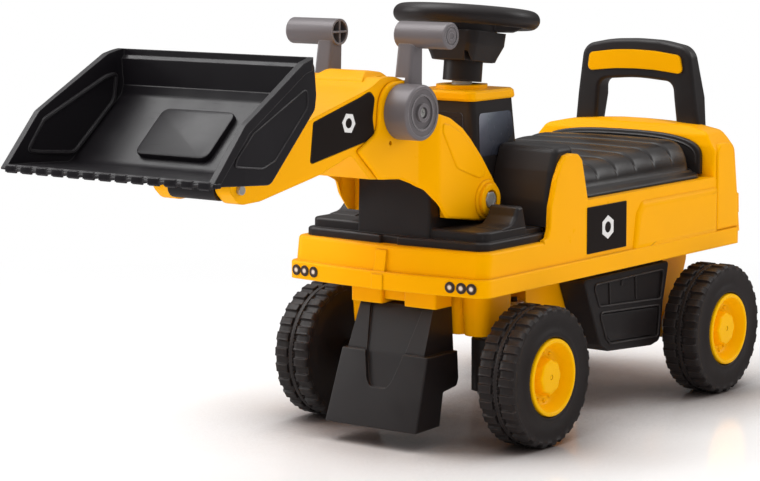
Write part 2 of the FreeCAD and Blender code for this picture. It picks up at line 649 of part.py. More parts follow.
def seat_lid():
    flange = loft('xy', (rect(105.5, 112, 344.6, 6, 24), SEAT_Z + 0.1),
                  (rect(105.0, 112.3, 344.4, 6, 24), SEAT_Z + 1.6),
                  (rect(98.5, 115, 341.5, 6, 20), SEAT_Z + 7.0))
    seat = fuse(flange, pad_loft(PAD_ROWS))
    seat = seat.cut([seat_groove(GROOVE_Y0 + GROOVE_PITCH * k) for k in range(GROOVE_COUNT)])
    # the hollow stops short of the front and rear of the pad
    seat = seat.cut(pad_loft(PAD_ROWS[1:-2], PAD_WALL))
    barrel = cylx(4.0, *KNUCKLE_X, HINGE_Y, HINGE_Z)
    tab = box(*KNUCKLE_X, HINGE_Y, 114, HINGE_Z - 2.0, HINGE_Z + 1.5)
    knuckles = fuse(*both(barrel), *both(tab))
    seat = fuse(seat, knuckles).cut(cylx(HINGE_R + CLEARANCE, -75, 75, HINGE_Y, HINGE_Z))
    # notch in the middle of the rear edge
    return biggest(seat.cut(box(-24, 24, 341.0, 350, 215, 226)))


def hinge_lug(x0, x1):
    radius = 3.4
    foot = box(x0, x1, HINGE_Y - radius, HINGE_Y + radius, SEAT_Z + 0.01, HINGE_Z)
    lug = fuse(foot, cylx(radius, x0, x1, HINGE_Y, HINGE_Z))
    return lug.cut(cylx(HINGE_R, -80, 80, HINGE_Y, HINGE_Z))


write('seat_lid', seat_lid())
left_lugs = [hinge_lug(*span) for span in HINGE_LUGS_X]
write('seat_hinge_lugs', *[mirror(lug) for lug in left_lugs], *left_lugs)
write('seat_hinge_pins',
      *both(cylx(HINGE_R, HINGE_LUGS_X[0][0], HINGE_LUGS_X[1][1], HINGE_Y, HINGE_Z)))

# ================================================================ WHEELS
# profiles of x from the inner face of the tyre, radius
TYRE = [(0, AXLE_R + CLEARANCE), (0, 52), (2.5, 58.5), (6, 62.3), (18.5, 62.5), (20, 64.6),
        (22.5, 64.6), (24, 62.5), (36.5, 62.3), (40, 58.5), (42.2, 54), (41.4, 46), (42.5, 40),
        (42.3, 37.1), (39.5, 37.1), (39.3, 44), (39.0, 54), (36.5, 58.5), (6.5, 58.5),
        (3, 53), (3, 10), (20, 10), (20, AXLE_R + CLEARANCE)]
TREAD_ENVELOPE = [(1.0, 50), (3.2, 66.0), (5.0, 67.5), (37.5, 67.5), (39.3, 66.0), (41.5, 50)]
HUB = [(35, 36.9), (42.6, 36.9), (44, 35.8), (44, 33.2), (42.4, 31.6), (31.5, 25.5),
       (29.8, 24), (29.3, 19.5), (30.5, 17.6), (38.6, 16.2), (40.3, 14.6), (40.8, 12),
       (40.8, 0.0), (38.4, 0.0), (38.2, 12.8), (27.4, 14.8), (27.2, 26.4), (39.8, 33.4),
       (40.2, 34.2), (35, 34.4)]
LUG_COUNT = 26
# one lug: angle as a share of half the lug pitch, radius
LUG = [(-0.76, 62.5), (-0.56, WHEEL_R - 0.6), (-0.44, WHEEL_R),
       (0.44, WHEEL_R), (0.56, WHEEL_R - 0.6), (0.76, 62.5)]


def lug_row(x0, x1, phase):
    """one row of lugs; phase is in lug pitches"""
    points = []
    for k in range(LUG_COUNT):
        centre = 2 * math.pi * (k + phase) / LUG_COUNT
        for share, radius in LUG:
            angle = centre + math.pi / LUG_COUNT * share
            points.append(Vector(x0, radius * math.sin(angle), radius * math.cos(angle)))
    return polygon_prism(points, x1 - x0).cut(cylx(58.0, x0 - 1, x1 + 1, 0, 0))


def make_tyre():
    envelope = revolve_x(TREAD_ENVELOPE)
    rows = [lug_row(1.0, 19.0, 0.0).common(envelope), lug_row(23.5, 41.5, 0.5).common(envelope)]
    return fuse(revolve_x(TYRE), *rows)


def make_hub():
    bumps = []
    for degrees in (81, 99, 261, 279):
        angle = math.radians(degrees)
        bump = cylx(1.8, 30.5, 33.0, 27.0 * math.cos(angle), 27.0 * math.sin(angle))
        bumps.append(soft(bump, 0.6, at_x(33.0)))
    hub = fuse(revolve_x(HUB), *bumps)
    return hub.cut([cylx(1.6, 39.9, 41.5, y, 0) for y in (5.5, -5.5)])


def placed(shape, x, y):
    """copy moved from the wheel's own frame to an axle"""
    shape = shape.copy()
    shape.translate(Vector(x, y, AXLE_Z))
    return shape


def push_nut():
    """retaining washer pushed on the left end of an axle"""
    nut = fuse(cylx(9.0, 120.4, 121.6, 0, 0), cylx(6.0, 121.6, 123.6, 0, 0))
    return nut.cut(cylx(AXLE_R, 110, 130, 0, 0))


def axle_bush():
    bush = fuse(cylx(9.0, 56, TRAY_X, REAR_Y, AXLE_Z), cylx(12.0, TRAY_X, 99.4, REAR_Y, AXLE_Z))
    return bush.cut(cylx(AXLE_R, 50, 100, REAR_Y, AXLE_Z))


for piece_name, piece in (('tyre', make_tyre()), ('hub', make_hub())):
    for axle_name, axle_y in (('front', 0.0), ('rear', REAR_Y)):
        write_pair(piece_name + '_' + axle_name, placed(piece, WHEEL_X, axle_y))
write('rear_axle', cylx(AXLE_R, -AXLE_END, AXLE_END, REAR_Y, AXLE_Z))
write('rear_axle_bushes', *both(axle_bush()))
write('rear_push_nuts', *both(placed(push_nut(), 0, REAR_Y)))
write_pair('front_push_nut', placed(push_nut(), 0, 0))

# ================================================================ STEERING LINKAGE
STUB_X = KINGPIN_X + 7      # inner end of the stub axles
KNUCKLE_TOP = 96.5
CRANK_Z0, CRANK_Z1 = 129.0, 134.0


def kingpin():
    return fuse(cylz(KINGPIN_R, KINGPIN_X, 0, 46, 144), cylz(8.5, KINGPIN_X, 0, 43, 46))


def knuckle():
    """left knuckle: upright barrel, axle boss, gusset and the arm back to the tie rod"""
    gusset = prism('xz', [(KINGPIN_X, 50), (KINGPIN_X, 90), (92, 77), (92, 57)], -5, 5)
    upright = fuse(cylz(14.0, KINGPIN_X, 0, 47, KNUCKLE_TOP),
                   cylx(11.0, KINGPIN_X, 99.4, 0, AXLE_Z), gusset)
    arm_plan = [(KINGPIN_X - 9, 0), (KINGPIN_X + 9, 0), (KINGPIN_X + 6, TIE_Y + 7, 6),
                (KINGPIN_X - 6, TIE_Y + 7, 6)]
    arm = fuse(prism('xy', arm_plan, 88, KNUCKLE_TOP), cylz(6.0, KINGPIN_X, TIE_Y, 88, 121.4),
               cylz(3.0, KINGPIN_X, TIE_Y, 121, 130))
    return fuse(upright, arm).cut([cylz(KINGPIN_R + CLEARANCE, KINGPIN_X, 0, 40, 100),
                                   cylx(AXLE_R, STUB_X, 110, 0, AXLE_Z)])


def tie_slot(x, half_x, y0, y1):
    return prism('xy', corners(x - half_x, x + half_x, y0, y1, half_x * 0.98),
                 TIE_Z - 1, TIE_Z + 5)


def tie_rod():
    front = arch([(-76, TIE_Y - 6.5, 6), (-54, TIE_Y - 6.5, 10), (-22, TIE_Y - 5, 10),
                  (-9, TIE_Y - 12, 6)])
    rod = prism('xy', front + [(76, TIE_Y + 6.5, 6), (-76, TIE_Y + 6.5, 6)], TIE_Z, TIE_Z + 4)
    return rod.cut([tie_slot(KINGPIN_X, 3.7, TIE_Y - 5.6, TIE_Y + 3.8),
                    tie_slot(-KINGPIN_X, 3.7, TIE_Y - 5.6, TIE_Y + 3.8),
                    tie_slot(0, 3.4, TIE_Y - 8.9, TIE_Y + 4.2)])


def steering_shaft():
    """column, crank plate and crank pin in one"""
    foot = -(COLUMN_Z - CRANK_Z0) / math.cos(COLUMN_TILT)
    shaft = column_cyl(COLUMN_R, foot, -7.5)
    # the crank starts where the column passes just below the top of the plate
    crank_y = COLUMN_Y - (COLUMN_Z - (CRANK_Z1 - 1)) * math.tan(COLUMN_TILT)
    plate = prism('xy', [(-8, crank_y - 8, 7), (8, crank_y - 8, 7), (6, TIE_Y + 6, 5),
                         (-6, TIE_Y + 6, 5)], CRANK_Z0, CRANK_Z1)
    return fuse(shaft, plate, cylz(2.5, 0, TIE_Y, 118.5, 130))


def steering_bushes():
    """flanged bushes that carry the column in the chassis and in the console cap"""
    bore = COLUMN_R + CLEARANCE
    lower = fuse(column_cyl(7.9, -246.5, -229), column_cyl(11.5, -229, -226))
    lower = lower.cut(column_cyl(bore, -260, -200))
    lower = lower.common(box(-30, 30, -20, 90, SKIRT_Z0 + 0.6, 185))
    upper = fuse(column_cyl(9.9, -75.6, -62.6), column_cyl(12.0, -76.6, -75.4))
    upper = upper.cut(column_cyl(bore, -100, -50))
    return biggest(lower), biggest(upper)


write('kingpins', *both(kingpin()))
write_pair('knuckle', knuckle())
write_pair('stub_axle', cylx(AXLE_R, STUB_X, AXLE_END, 0, AXLE_Z))
write('tie_rod', tie_rod())
write('steering_shaft', steering_shaft())
write('steering_bushes', *steering_bushes())
write('column_sleeve', column_cyl(19.0, -62, -43).cut(column_cyl(COLUMN_R, -70, -30)))

# ================================================================ STEERING WHEEL
# Drawn about the Z axis with the wheel centre at the origin, then moved by on_column().
RIM_R, RIM_THICK_R = 62.4, 9.0
DISH_R, DISH_FLOOR = 27.8, -11.4    # inside of the cup in the wheel
# rows of half width, front y, rear y, z, corner radius
WHEEL_HUB = [(24.5, -24.5, 24.5, -43, 9), (26, -26, 26, -38, 9), (30.5, -29.5, 29.5, -26.5, 9),
             (31.5, -30.5, 30.5, -14, 10)]
WHEEL_HUB_INSIDE = [(27.5, -26.5, 26.5, -25, 7), (28.5, -27.5, 27.5, -13, 7)]
SPOKE = [(26, -13.0), (26, -3.0), (60, 3.0), (64, -1), (60, -6.0), (46, -12.0)]    # x z


def steering_hub():
    """flared cup with flat sides under the wheel"""
    hub = soft(rect_loft(WHEEL_HUB), 1.5, at_z(-43))
    # notch in the underside, outside the solid core
    notch = prism('xz', [(18, -45), (23.8, -45), (22.6, -33, 1.5), (19.2, -33, 1.5)], -40, 40)
    notch = notch.cut(cylz(18, 0, 0, -60, 0))
    hub = hub.cut([rect_loft(WHEEL_HUB_INSIDE), notch, cylz(COLUMN_R, 0, 0, -50, 0)])
    return biggest(on_column(hub))


def steering_rim():
    dish = cylz(30.5, 0, 0, -13.9, -2).cut(cylz(DISH_R, 0, 0, DISH_FLOOR, 5))
    dish = dish.cut(cylz(COLUMN_R, 0, 0, -20, 0))
    spokes = []
    for degrees in (270, 35, 145):
        spoke = prism('xz', SPOKE, -12, 12)
        spoke.rotate(ORIGIN, Z_AXIS, degrees)
        spokes.append(spoke)
    rim = fuse(Part.makeTorus(RIM_R, RIM_THICK_R), dish, *spokes)
    return biggest(on_column(rim.cut(cylz(DISH_R, 0, 0, DISH_FLOOR, 10))))


def horn_button():
    button = fuse(cylz(27.2, 0, 0, -1.0, 3.0), cylz(9.0, 0, 0, -4.4, -0.9))
    return on_column(soft(button, 2.0, at_z(3.0)))


def horn_spring():
    """sleeve slit from alternate sides"""
    spring = cylz(13.0, 0, 0, DISH_FLOOR, -4.2).cut(cylz(11.2, 0, 0, -20, 10))
    for k, (y0, y1) in enumerate(((0, 14), (-14, 0), (0, 14))):
        spring = spring.cut(box(-14, 14, y0, y1, -10.2 + 2.0 * k, -9.2 + 2.0 * k))
    return on_column(spring)


def sound_module():
    return on_column(fuse(box(-20, 20, 7.2, 24, -24.9, -16), cylz(8, 8, 15.5, -16, -14.6),
                          cylz(2.5, -10, 15.5, -16, -14.4)))


def battery(y):
    return on_column(fuse(cylx(5.2, -22, 21.5, y, -19.6), cylx(2.0, 21.5, 22.8, y, -19.6)))


write('steering_hub', steering_hub())
write('steering_rim', steering_rim())
write('horn_button', horn_button())
write('horn_spring', horn_spring())
write('sound_module', sound_module())
write('batteries', battery(-10.5), battery(-21.0))

# ================================================================ BOOM
# side views, y z radius
BOOM = [(-175, 288.3, 2), (-143.5, 260.0, 3), (-112, 257.5, 14), (-95, 252, 10),
        (-79, 245, 14), (-67, 232, 8), (-54, 216.5, 5), (-2, 208.6), (8.5, 208.0, 19.5),
        (28.5, 208.0, 19.9), (28.5, 232, 18), (21, 247, 20), (1, 271, 40), (-16, 288, 30),
        (-29, 299, 20), (-48, 309.5, 20), (-78, 318, 10), (-84, 330, 6), (-84, 347.3, 27.8),
        (-141, 347.3, 27.8), (-146, 303, 14)]
BOOM_INSIDE = [(-195, 200), (-195, 360), (-70, 360), (-72, 318), (-50, 304.5), (-31, 295),
               (-18, 284), (-1, 267.5), (18, 244), (25, 228), (18, 200)]
CHEEK = [(-44, 212, 4), (-2, 211, 2), (8.5, 208.2, 15), (27, 210, 16), (27, 232, 12),
         (12, 252, 10), (-44, 300, 4)]
RAISED_PANEL = [(-62, 297, 4), (-40, 262, 10), (-6, 250, 10), (6, 250, 4), (1, 262, 10),
                (-17, 282, 30), (-30, 293, 20), (-50, 303, 10), (-62, 306, 4)]
# plans, x y radius
BOOM_PLAN = arch([(-60, 40), (-60, -66, 12), (-49.8, -86, 6), (-49.6, -185)])
BOOM_INSIDE_PLAN = arch([(-57, 45), (-57, -65, 10), (-46.8, -86, 6), (-46.6, -195)])
PIVOT_RING_X, PIVOT_CAP_X, RAISED_PANEL_X = 62.2, 66.0, 61.2
BOLT_SEAT_X = 61.2      # face under the bolt head


def boom():
    beam = prism('yz', BOOM, -62, 62)
    beam = beam.common(prism('xy', BOOM_PLAN, 190, 370))
    beam = soft(beam, 2.6, lambda edge: edge.Length > 6 and abs(mid(edge).x) > 44)
    beam = beam.cut(prism('yz', BOOM_INSIDE, -62, 62).common(
        prism('xy', BOOM_INSIDE_PLAN, 190, 370)))
    # solid cheeks at the pivot; the back is open around the console
    beam = beam.cut([box(-43.6, 43.6, -27, 40, 190, 330)])
    cheek = prism('yz', CHEEK, 43.6, 58).common(prism('yz', BOOM, 40, 60))
    beam = fuse(beam, *both(cheek))
    pivot_ring = soft(cylx(18.9, 59, PIVOT_RING_X, BOOM_Y, BOOM_Z), 1.0, at_x(PIVOT_RING_X))
    pivot_cap = soft(cylx(15.6, 62, PIVOT_CAP_X, BOOM_Y, BOOM_Z), 1.2, at_x(PIVOT_CAP_X))
    beam = fuse(beam, pivot_ring, pivot_cap, mirror(pivot_ring), mirror(pivot_cap))
    panel = soft(prism('yz', RAISED_PANEL, 58, RAISED_PANEL_X), 1.1, at_x(RAISED_PANEL_X))
    beam = fuse(beam, *both(panel))
    return beam.cut([cylx(BOOM_BOLT_R + CLEARANCE, -70, 70, BOOM_Y, BOOM_Z),
                     cylx(9.6, 61, 70, BOOM_Y, BOOM_Z), cylx(9.6, -70, -61, BOOM_Y, BOOM_Z),
                     # small hole through each side wall below the drums
                     cylx(2.0, 40, 70, -128, 292.0), cylx(2.0, -70, -40, -128, 292.0),
                     cylx(ELBOW_R + CLEARANCE, -60, 60, ELBOW_Y, ELBOW_Z)])


def hexagon(x0, x1):
    """hexagonal block on the boom pivot"""
    radius = 7.4
    angles = [math.pi / 3 * k for k in range(6)]
    return polygon_prism([Vector(x0, BOOM_Y + radius * math.cos(angle),
                                 BOOM_Z + radius * math.sin(angle)) for angle in angles],
                         x1 - x0)


whole_boom = boom()
write('boom_left_shell', biggest(whole_boom.common(box(0.0, 80, -210, 60, 180, 370))))
write('boom_right_shell', biggest(whole_boom.common(box(-80, 0.0, -210, 60, 180, 370))))
write('boom_bolt', fuse(cylx(BOOM_BOLT_R, -65.5, BOLT_SEAT_X, BOOM_Y, BOOM_Z),
                        hexagon(BOLT_SEAT_X, 65.4)))
write('boom_nut', hexagon(-65.4, -BOLT_SEAT_X).cut(
    cylx(BOOM_BOLT_R, -70, -55, BOOM_Y, BOOM_Z)))

# ================================================================ FRONT ARM
# Swings inside the boom cheeks.
ARM_X = 46.0
ARM_INSIDE_X = ARM_X - WALL
ARM_RECESS_X = ARM_X - 1.2      # floor of the side recesses
# side views, y z radius
ARM = [(-331, 255, 14), (-345, 268, 12), (-340, 283, 8), (-318, 292, 12), (-285, 303, 40),
       (-231, 323, 60), (-153, 343, 60), (-136, 351, 16), (-118, 351.5, 14), (-90, 343),
       (-84.5, 319.5), (-84.5, 296, 12), (-104, 263, 14), (-122, 258.6, 4), (-154, 261, 5),
       (-181, 285, 8), (-224, 272, 60), (-305, 256, 20)]
ARM_INSIDE = [(-318, 240), (-318, 286), (-285, 299.5), (-231, 319.6), (-153, 339.6),
              (-136, 347), (-118, 347.5), (-94, 340), (-88, 319.5), (-88, 297), (-104, 267),
              (-110, 240)]
ARM_CHIN = [(-125, 255), (-154, 258), (-185, 287), (-181.5, 290), (-154, 264.2),
            (-125, 261.6)]
ARM_HUMP = [(-150, 335), (-143, 350, 10), (-128, 357, 14), (-108, 354, 8), (-104, 345),
            (-104, 335)]
ARM_RECESS = [(-234.5, 318.5, 3), (-166, 336.5, 60), (-153, 341, 8), (-146, 334, 5),
              (-149.5, 316, 14), (-146.5, 300, 6), (-153, 296.5, 5), (-239.5, 281.5, 3)]
ARM_PANEL = [(-234, 318.0, 3), (-166, 335.9, 60), (-153.2, 340.2, 7.5), (-146.8, 334, 4.5),
             (-150.1, 316, 14), (-147.1, 300.3, 5.5), (-153.1, 297.1, 4.5),
             (-239, 282.1, 3)]
ARM_PLAN = arch([(-ARM_X, -80), (-ARM_X, -240, 40), (-44, -318), (-44, -350)])
HUMP_FRONT = arch([(-30, 330), (-30, 349, 6), (-22, 357, 10)])


def arm_shell():
    arm = prism('yz', ARM, -ARM_X, ARM_X).common(prism('xy', ARM_PLAN, 240, 380))
    arm = soft(arm, 3.0, lambda edge: (edge.Length > 20 and abs(mid(edge).x) > 40
                                       and mid(edge).z > 275 and mid(edge).y < -90))
    hump = prism('xz', HUMP_FRONT, -147, -104).common(prism('yz', ARM_HUMP, -40, 40))
    arm = fuse(arm, hump).cut(prism('yz', ARM_INSIDE, -ARM_INSIDE_X, ARM_INSIDE_X))
    # wall that closes the underside below the elbow
    chin = prism('yz', ARM_CHIN, -ARM_INSIDE_X, ARM_INSIDE_X).common(
        prism('yz', ARM, -ARM_INSIDE_X, ARM_INSIDE_X))
    arm = fuse(arm, chin)
    # fork at the front end, where the bucket lug swings
    arm = arm.cut([box(-27, 27, -360, -296, 230, 300)])
    elbow_bore = cylx(ELBOW_R, -60, 60, ELBOW_Y, ELBOW_Z)
    arm = arm.cut([cylx(BUCKET_PIN_R, -50, 50, BUCKET_Y, BUCKET_Z), elbow_bore])
    eyes = fuse(*both(cylx(14.0, 30, ARM_INSIDE_X, ELBOW_Y, ELBOW_Z))).cut(elbow_bore)
    arm = fuse(arm, eyes)
    recess = prism('yz', ARM_RECESS, ARM_RECESS_X, ARM_X + 2)
    arm = arm.cut([*both(recess), cylz(3.0, 34, -124, 343, 360), cylz(3.0, -34, -124, 343, 360)])
    return biggest(arm)


write('arm_shell', arm_shell())
write('arm_side_panels', *both(prism('yz', ARM_PANEL, ARM_RECESS_X, ARM_X + 0.3)))
# tube through the arm eyes and the boom cheeks, between the two drums
write('elbow_shaft', cylx(ELBOW_R, -50.0, 50.0, ELBOW_Y, ELBOW_Z).cut(
    cylx(6.5, -60, 60, ELBOW_Y, ELBOW_Z)))

# ================================================================ HAND LEVERS
DRUM_R, DRUM_X0, DRUM_X1 = 25.4, 50.2, 75.0
GRIP_X0, GRIP_X1, GRIP_Y, GRIP_Z, GRIP_R = 36.0, 92.0, -92.5, 388.2, 12.3


def on_elbow(radius, x0, x1):
    return cylx(radius, x0, x1, ELBOW_Y, ELBOW_Z)


def on_grip(radius, x0, x1):
    return cylx(radius, x0, x1, GRIP_Y, GRIP_Z)


def hand_lever():
    """left lever: a drum on the elbow, an upright and a grip along X"""
    drum = soft(on_elbow(DRUM_R, DRUM_X0, DRUM_X1), 2.2, at_x(DRUM_X1))
    drum = drum.cut([on_elbow(21.6, 73.8, 80).cut(on_elbow(16.5, 70, 80)),
                     on_elbow(15.0, 72.9, 80).cut(on_elbow(8.5, 70, 80))])
    drum = fuse(drum, on_elbow(8.5, 72, 76.5))
    upright = loft('xy', (corners(37.5, 59, -109.5, -86.5, 3), 318),
                   (corners(37.5, 56.5, -107.5, -87.5, 3), 345),
                   (corners(38, 55.5, -101.5, -85.5, 3), 384))
    # cleared round the top of the boom
    upright = upright.cut([box(30, DRUM_X0, -150, -60, 300, 349.8),
                           box(30, 70, -89.0, -60, 300, 337)])
    grip = soft(on_grip(GRIP_R, GRIP_X0, GRIP_X1), 1.6, at_x(GRIP_X1))
    lever = fuse(drum, upright, grip)
    end_groove = on_grip(8.6, GRIP_X1 - 0.9, GRIP_X1 + 1).cut(
        on_grip(6.6, GRIP_X1 - 3, GRIP_X1 + 3))
    lever = lever.cut([on_elbow(5.2, 70, 80), end_groove,
                       on_grip(3.2, GRIP_X1 - 0.7, GRIP_X1 + 1), on_elbow(4.2, 60, 80)])
    # the inner end of the grip is hollow around a cross of two ribs
    x0, x1 = GRIP_X0 - 2, GRIP_X0 + 20
    ribs = [box(x0, x1, GRIP_Y - 0.9, GRIP_Y + 0.9, GRIP_Z - 20, GRIP_Z + 20),
            box(x0, x1, GRIP_Y - 20, GRIP_Y + 20, GRIP_Z - 0.9, GRIP_Z + 0.9)]
    return biggest(lever.cut(on_grip(GRIP_R - 2.0, GRIP_X0 - 1, GRIP_X0 + 15).cut(ribs)))


def lever_screw():
    screw = fuse(on_elbow(4.15, 71.0, 74.6), on_elbow(2.4, 60.5, 71.0))
    slots = [box(73.6, 76, ELBOW_Y - y, ELBOW_Y + y, ELBOW_Z - z, ELBOW_Z + z)
             for y, z in ((2.6, 0.5), (0.5, 2.6))]
    return screw.cut(slots)


write_pair('hand_lever', hand_lever())
write('lever_screws', *both(lever_screw()))

# ================================================================ BUCKET
BUCKET_X = 116.0
# side views, y z radius
BUCKET = [(-448, 289, 2), (-408, 331, 10), (-330, 374.5, 14), (-312, 379, 6),
          (-308.5, 350, 8), (-311, 338, 8), (-374, 281, 12), (-437, 285.5, 3)]
BUCKET_INSIDE = [(-460, 291.5), (-400, 345), (-330, 400), (-290, 400), (-314.5, 373),
                 (-313, 350, 8), (-315.5, 341, 8), (-375, 286.5, 14), (-440, 290)]
BUCKET_RIM = [(-451, 286.5, 1), (-409.5, 332.5, 10), (-329, 377.8, 14), (-309.0, 382.5, 6),
              (-308.3, 372.5, 2), (-327, 368.5, 12), (-404, 325.5, 10), (-443, 284.8, 1)]
BUCKET_LUG = [(BUCKET_Y - 12, BUCKET_Z - 10, 9), (BUCKET_Y - 15, 284), (-350, 304),
              (-322, 330), (BUCKET_Y + 13, 296), (BUCKET_Y + 12, BUCKET_Z - 10, 9)]
ABOVE_BUCKET_FLOOR = [(-376.0, 281.0), (-311, 338.0), (-300, 380), (-460, 380), (-460, 281)]
TOOTH = [(-446, 283.4), (-446, 288.6), (-449.5, 288.0, 1.5), (-449.0, 283.2, 1.5)]
TOOTH_COUNT, TOOTH_X0, TOOTH_PITCH = 13, -108, 18
# plans, x y radius
BUCKET_PLAN = arch([(-118.5, -460), (-117.5, -448), (-116, -408, 20), (-110, -311, 14),
                    (-108, -300)])
BUCKET_INSIDE_PLAN = arch([(-115, -470), (-113.2, -408, 18), (-106.0, -318, 20),
                           (-104, -312)])
RIM_PLAN = arch([(-118.6, -460), (-118.5, -448), (-118.2, -408, 20), (-112.6, -309, 12)])


def bucket():
    shell = prism('yz', BUCKET, -BUCKET_X, BUCKET_X).common(prism('xy', BUCKET_PLAN, 250, 400))
    inside = prism('yz', BUCKET_INSIDE, -112.5, 112.5).common(
        prism('xy', BUCKET_INSIDE_PLAN, 250, 410))
    shell = shell.cut(inside)
    rim = prism('yz', BUCKET_RIM, -BUCKET_X - 4, BUCKET_X + 4)
    rim = rim.common(prism('xy', RIM_PLAN, 250, 400)).cut(inside)
    shell = fuse(shell, rim)
    teeth = []
    for k in range(TOOTH_COUNT):
        x = TOOTH_X0 + TOOTH_PITCH * k
        teeth.append(prism('yz', TOOTH, x - 5, x + 5))
    lug = prism('yz', BUCKET_LUG, -26, 26).cut(prism('yz', ABOVE_BUCKET_FLOOR, -30, 30))
    shell = fuse(shell, lug, *teeth)
    return biggest(shell.cut([cylx(BUCKET_PIN_R + CLEARANCE, -30, 30, BUCKET_Y, BUCKET_Z)]))


write('bucket', bucket())
write('bucket_pin', cylx(BUCKET_PIN_R, -47.0, 47.0, BUCKET_Y, BUCKET_Z))

# ================================================================ SCREWS that close the body
write('chassis_screws', *[cylz(3.6, x, y, SKIRT_Z0 - 1.5, SKIRT_Z0 + 0.5)
                          for y in (-50, 90, 300, 386) for x in (-98, 98)])
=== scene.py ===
"""A moulded-plastic loader: yellow body, black trim, seat lid, four wheels and a bucket in front.

The frame is in metres with z up, -y to the front and +x to the left. The pieces below are
measured in millimetres with y counted from the front axle; place() takes them to the frame.
"""
import json
import math

import bmesh
import bpy
from mathutils import Matrix, Vector


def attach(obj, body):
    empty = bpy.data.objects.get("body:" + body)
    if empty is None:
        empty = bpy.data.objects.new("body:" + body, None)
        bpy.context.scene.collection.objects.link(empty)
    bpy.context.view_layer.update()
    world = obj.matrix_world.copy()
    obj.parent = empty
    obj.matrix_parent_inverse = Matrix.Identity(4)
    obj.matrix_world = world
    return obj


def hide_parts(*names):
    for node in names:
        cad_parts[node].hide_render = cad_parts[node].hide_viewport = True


FRONT_AXLE_Y = 0.024            # metres, in the frame
WHITE = (1, 1, 1, 1)

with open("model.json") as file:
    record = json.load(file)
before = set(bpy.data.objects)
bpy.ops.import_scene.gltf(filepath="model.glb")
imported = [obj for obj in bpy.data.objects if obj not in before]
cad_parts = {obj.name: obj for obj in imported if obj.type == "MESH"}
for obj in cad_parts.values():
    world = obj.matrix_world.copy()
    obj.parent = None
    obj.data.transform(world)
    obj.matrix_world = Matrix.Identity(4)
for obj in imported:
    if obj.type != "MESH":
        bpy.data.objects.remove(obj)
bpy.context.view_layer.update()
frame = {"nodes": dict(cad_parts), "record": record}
nodes = frame["nodes"]
scene = bpy.context.scene


# ---------------------------------------------------------------- shader graph helpers
def srgb(*channels):
    """Linear colour from 0-255 display values."""
    def linear(c):
        return c / 12.92 if c <= 0.04045 else ((c + 0.055) / 1.055) ** 2.4
    return tuple(linear(c / 255) for c in channels) + (1.0,)


class Graph:
    """Builds a node tree. Any input may be a plain value or another node's output socket."""

    def __init__(self, tree):
        self.tree = tree
        tree.nodes.clear()

    def node(self, kind, inputs=None, **settings):
        node = self.tree.nodes.new(kind)
        for key, value in settings.items():
            setattr(node, key, value)
        for key, value in (inputs or {}).items():
            if isinstance(value, bpy.types.NodeSocket):
                self.tree.links.new(value, node.inputs[key])
            else:
                node.inputs[key].default_value = value
        return node

    def coords(self, output="Object"):
        return self.node("ShaderNodeTexCoord").outputs[output]

    def noise(self, vector, scale, detail, roughness=0.5):
        return self.node("ShaderNodeTexNoise", {
            "Vector": vector, "Scale": scale, "Detail": detail, "Roughness": roughness}).outputs

    def remap(self, value, source, target):
        return self.node("ShaderNodeMapRange", {
            0: value, 1: source[0], 2: source[1], 3: target[0], 4: target[1]}).outputs[0]

    def math(self, operation, *operands, **settings):
        return self.node("ShaderNodeMath", dict(enumerate(operands)),
                         operation=operation, **settings).outputs[0]

    def vector_math(self, operation, *operands):
        return self.node("ShaderNodeVectorMath", dict(enumerate(operands)),
                         operation=operation).outputs["Value"]

    def axes(self, vector):
        return self.node("ShaderNodeSeparateXYZ", {0: vector}).outputs

    def mix(self, factor, a, b, blend="MIX"):
        return self.node("ShaderNodeMix", {0: factor, 6: a, 7: b},
                         data_type="RGBA", blend_type=blend).outputs[2]

    def mix_shader(self, factor, a, b):
        return self.node("ShaderNodeMixShader", {0: factor, 1: a, 2: b}).outputs[0]

    def ramp(self, value, stops):
        node = self.node("ShaderNodeValToRGB", {0: value})
        elements = node.color_ramp.elements
        while len(elements) > 1:
            elements.remove(elements[-1])
        elements[0].position, elements[0].color = stops[0]
        for position, colour in stops[1:]:
            elements.new(position).color = colour
        return node.outputs[0]

    def bevel(self, radius):
        return self.node("ShaderNodeBevel", {"Radius": radius}, samples=4).outputs[0]

    def bump(self, height, distance, **below):
        return self.node("ShaderNodeBump", {
            "Height": height, "Distance": distance, **below}).outputs[0]

    def occlusion(self, distance, samples):
        return self.node("ShaderNodeAmbientOcclusion", {"Distance": distance},
                         samples=samples).outputs["AO"]

    def principled(self, inputs):
        return self.node("ShaderNodeBsdfPrincipled", inputs).outputs["BSDF"]


def new_material(name):
    material = bpy.data.materials.new(name)
    material.use_nodes = True
    return material, Graph(material.node_tree)


def surface(graph, shader):
    graph.node("ShaderNodeOutputMaterial", {"Surface": shader})


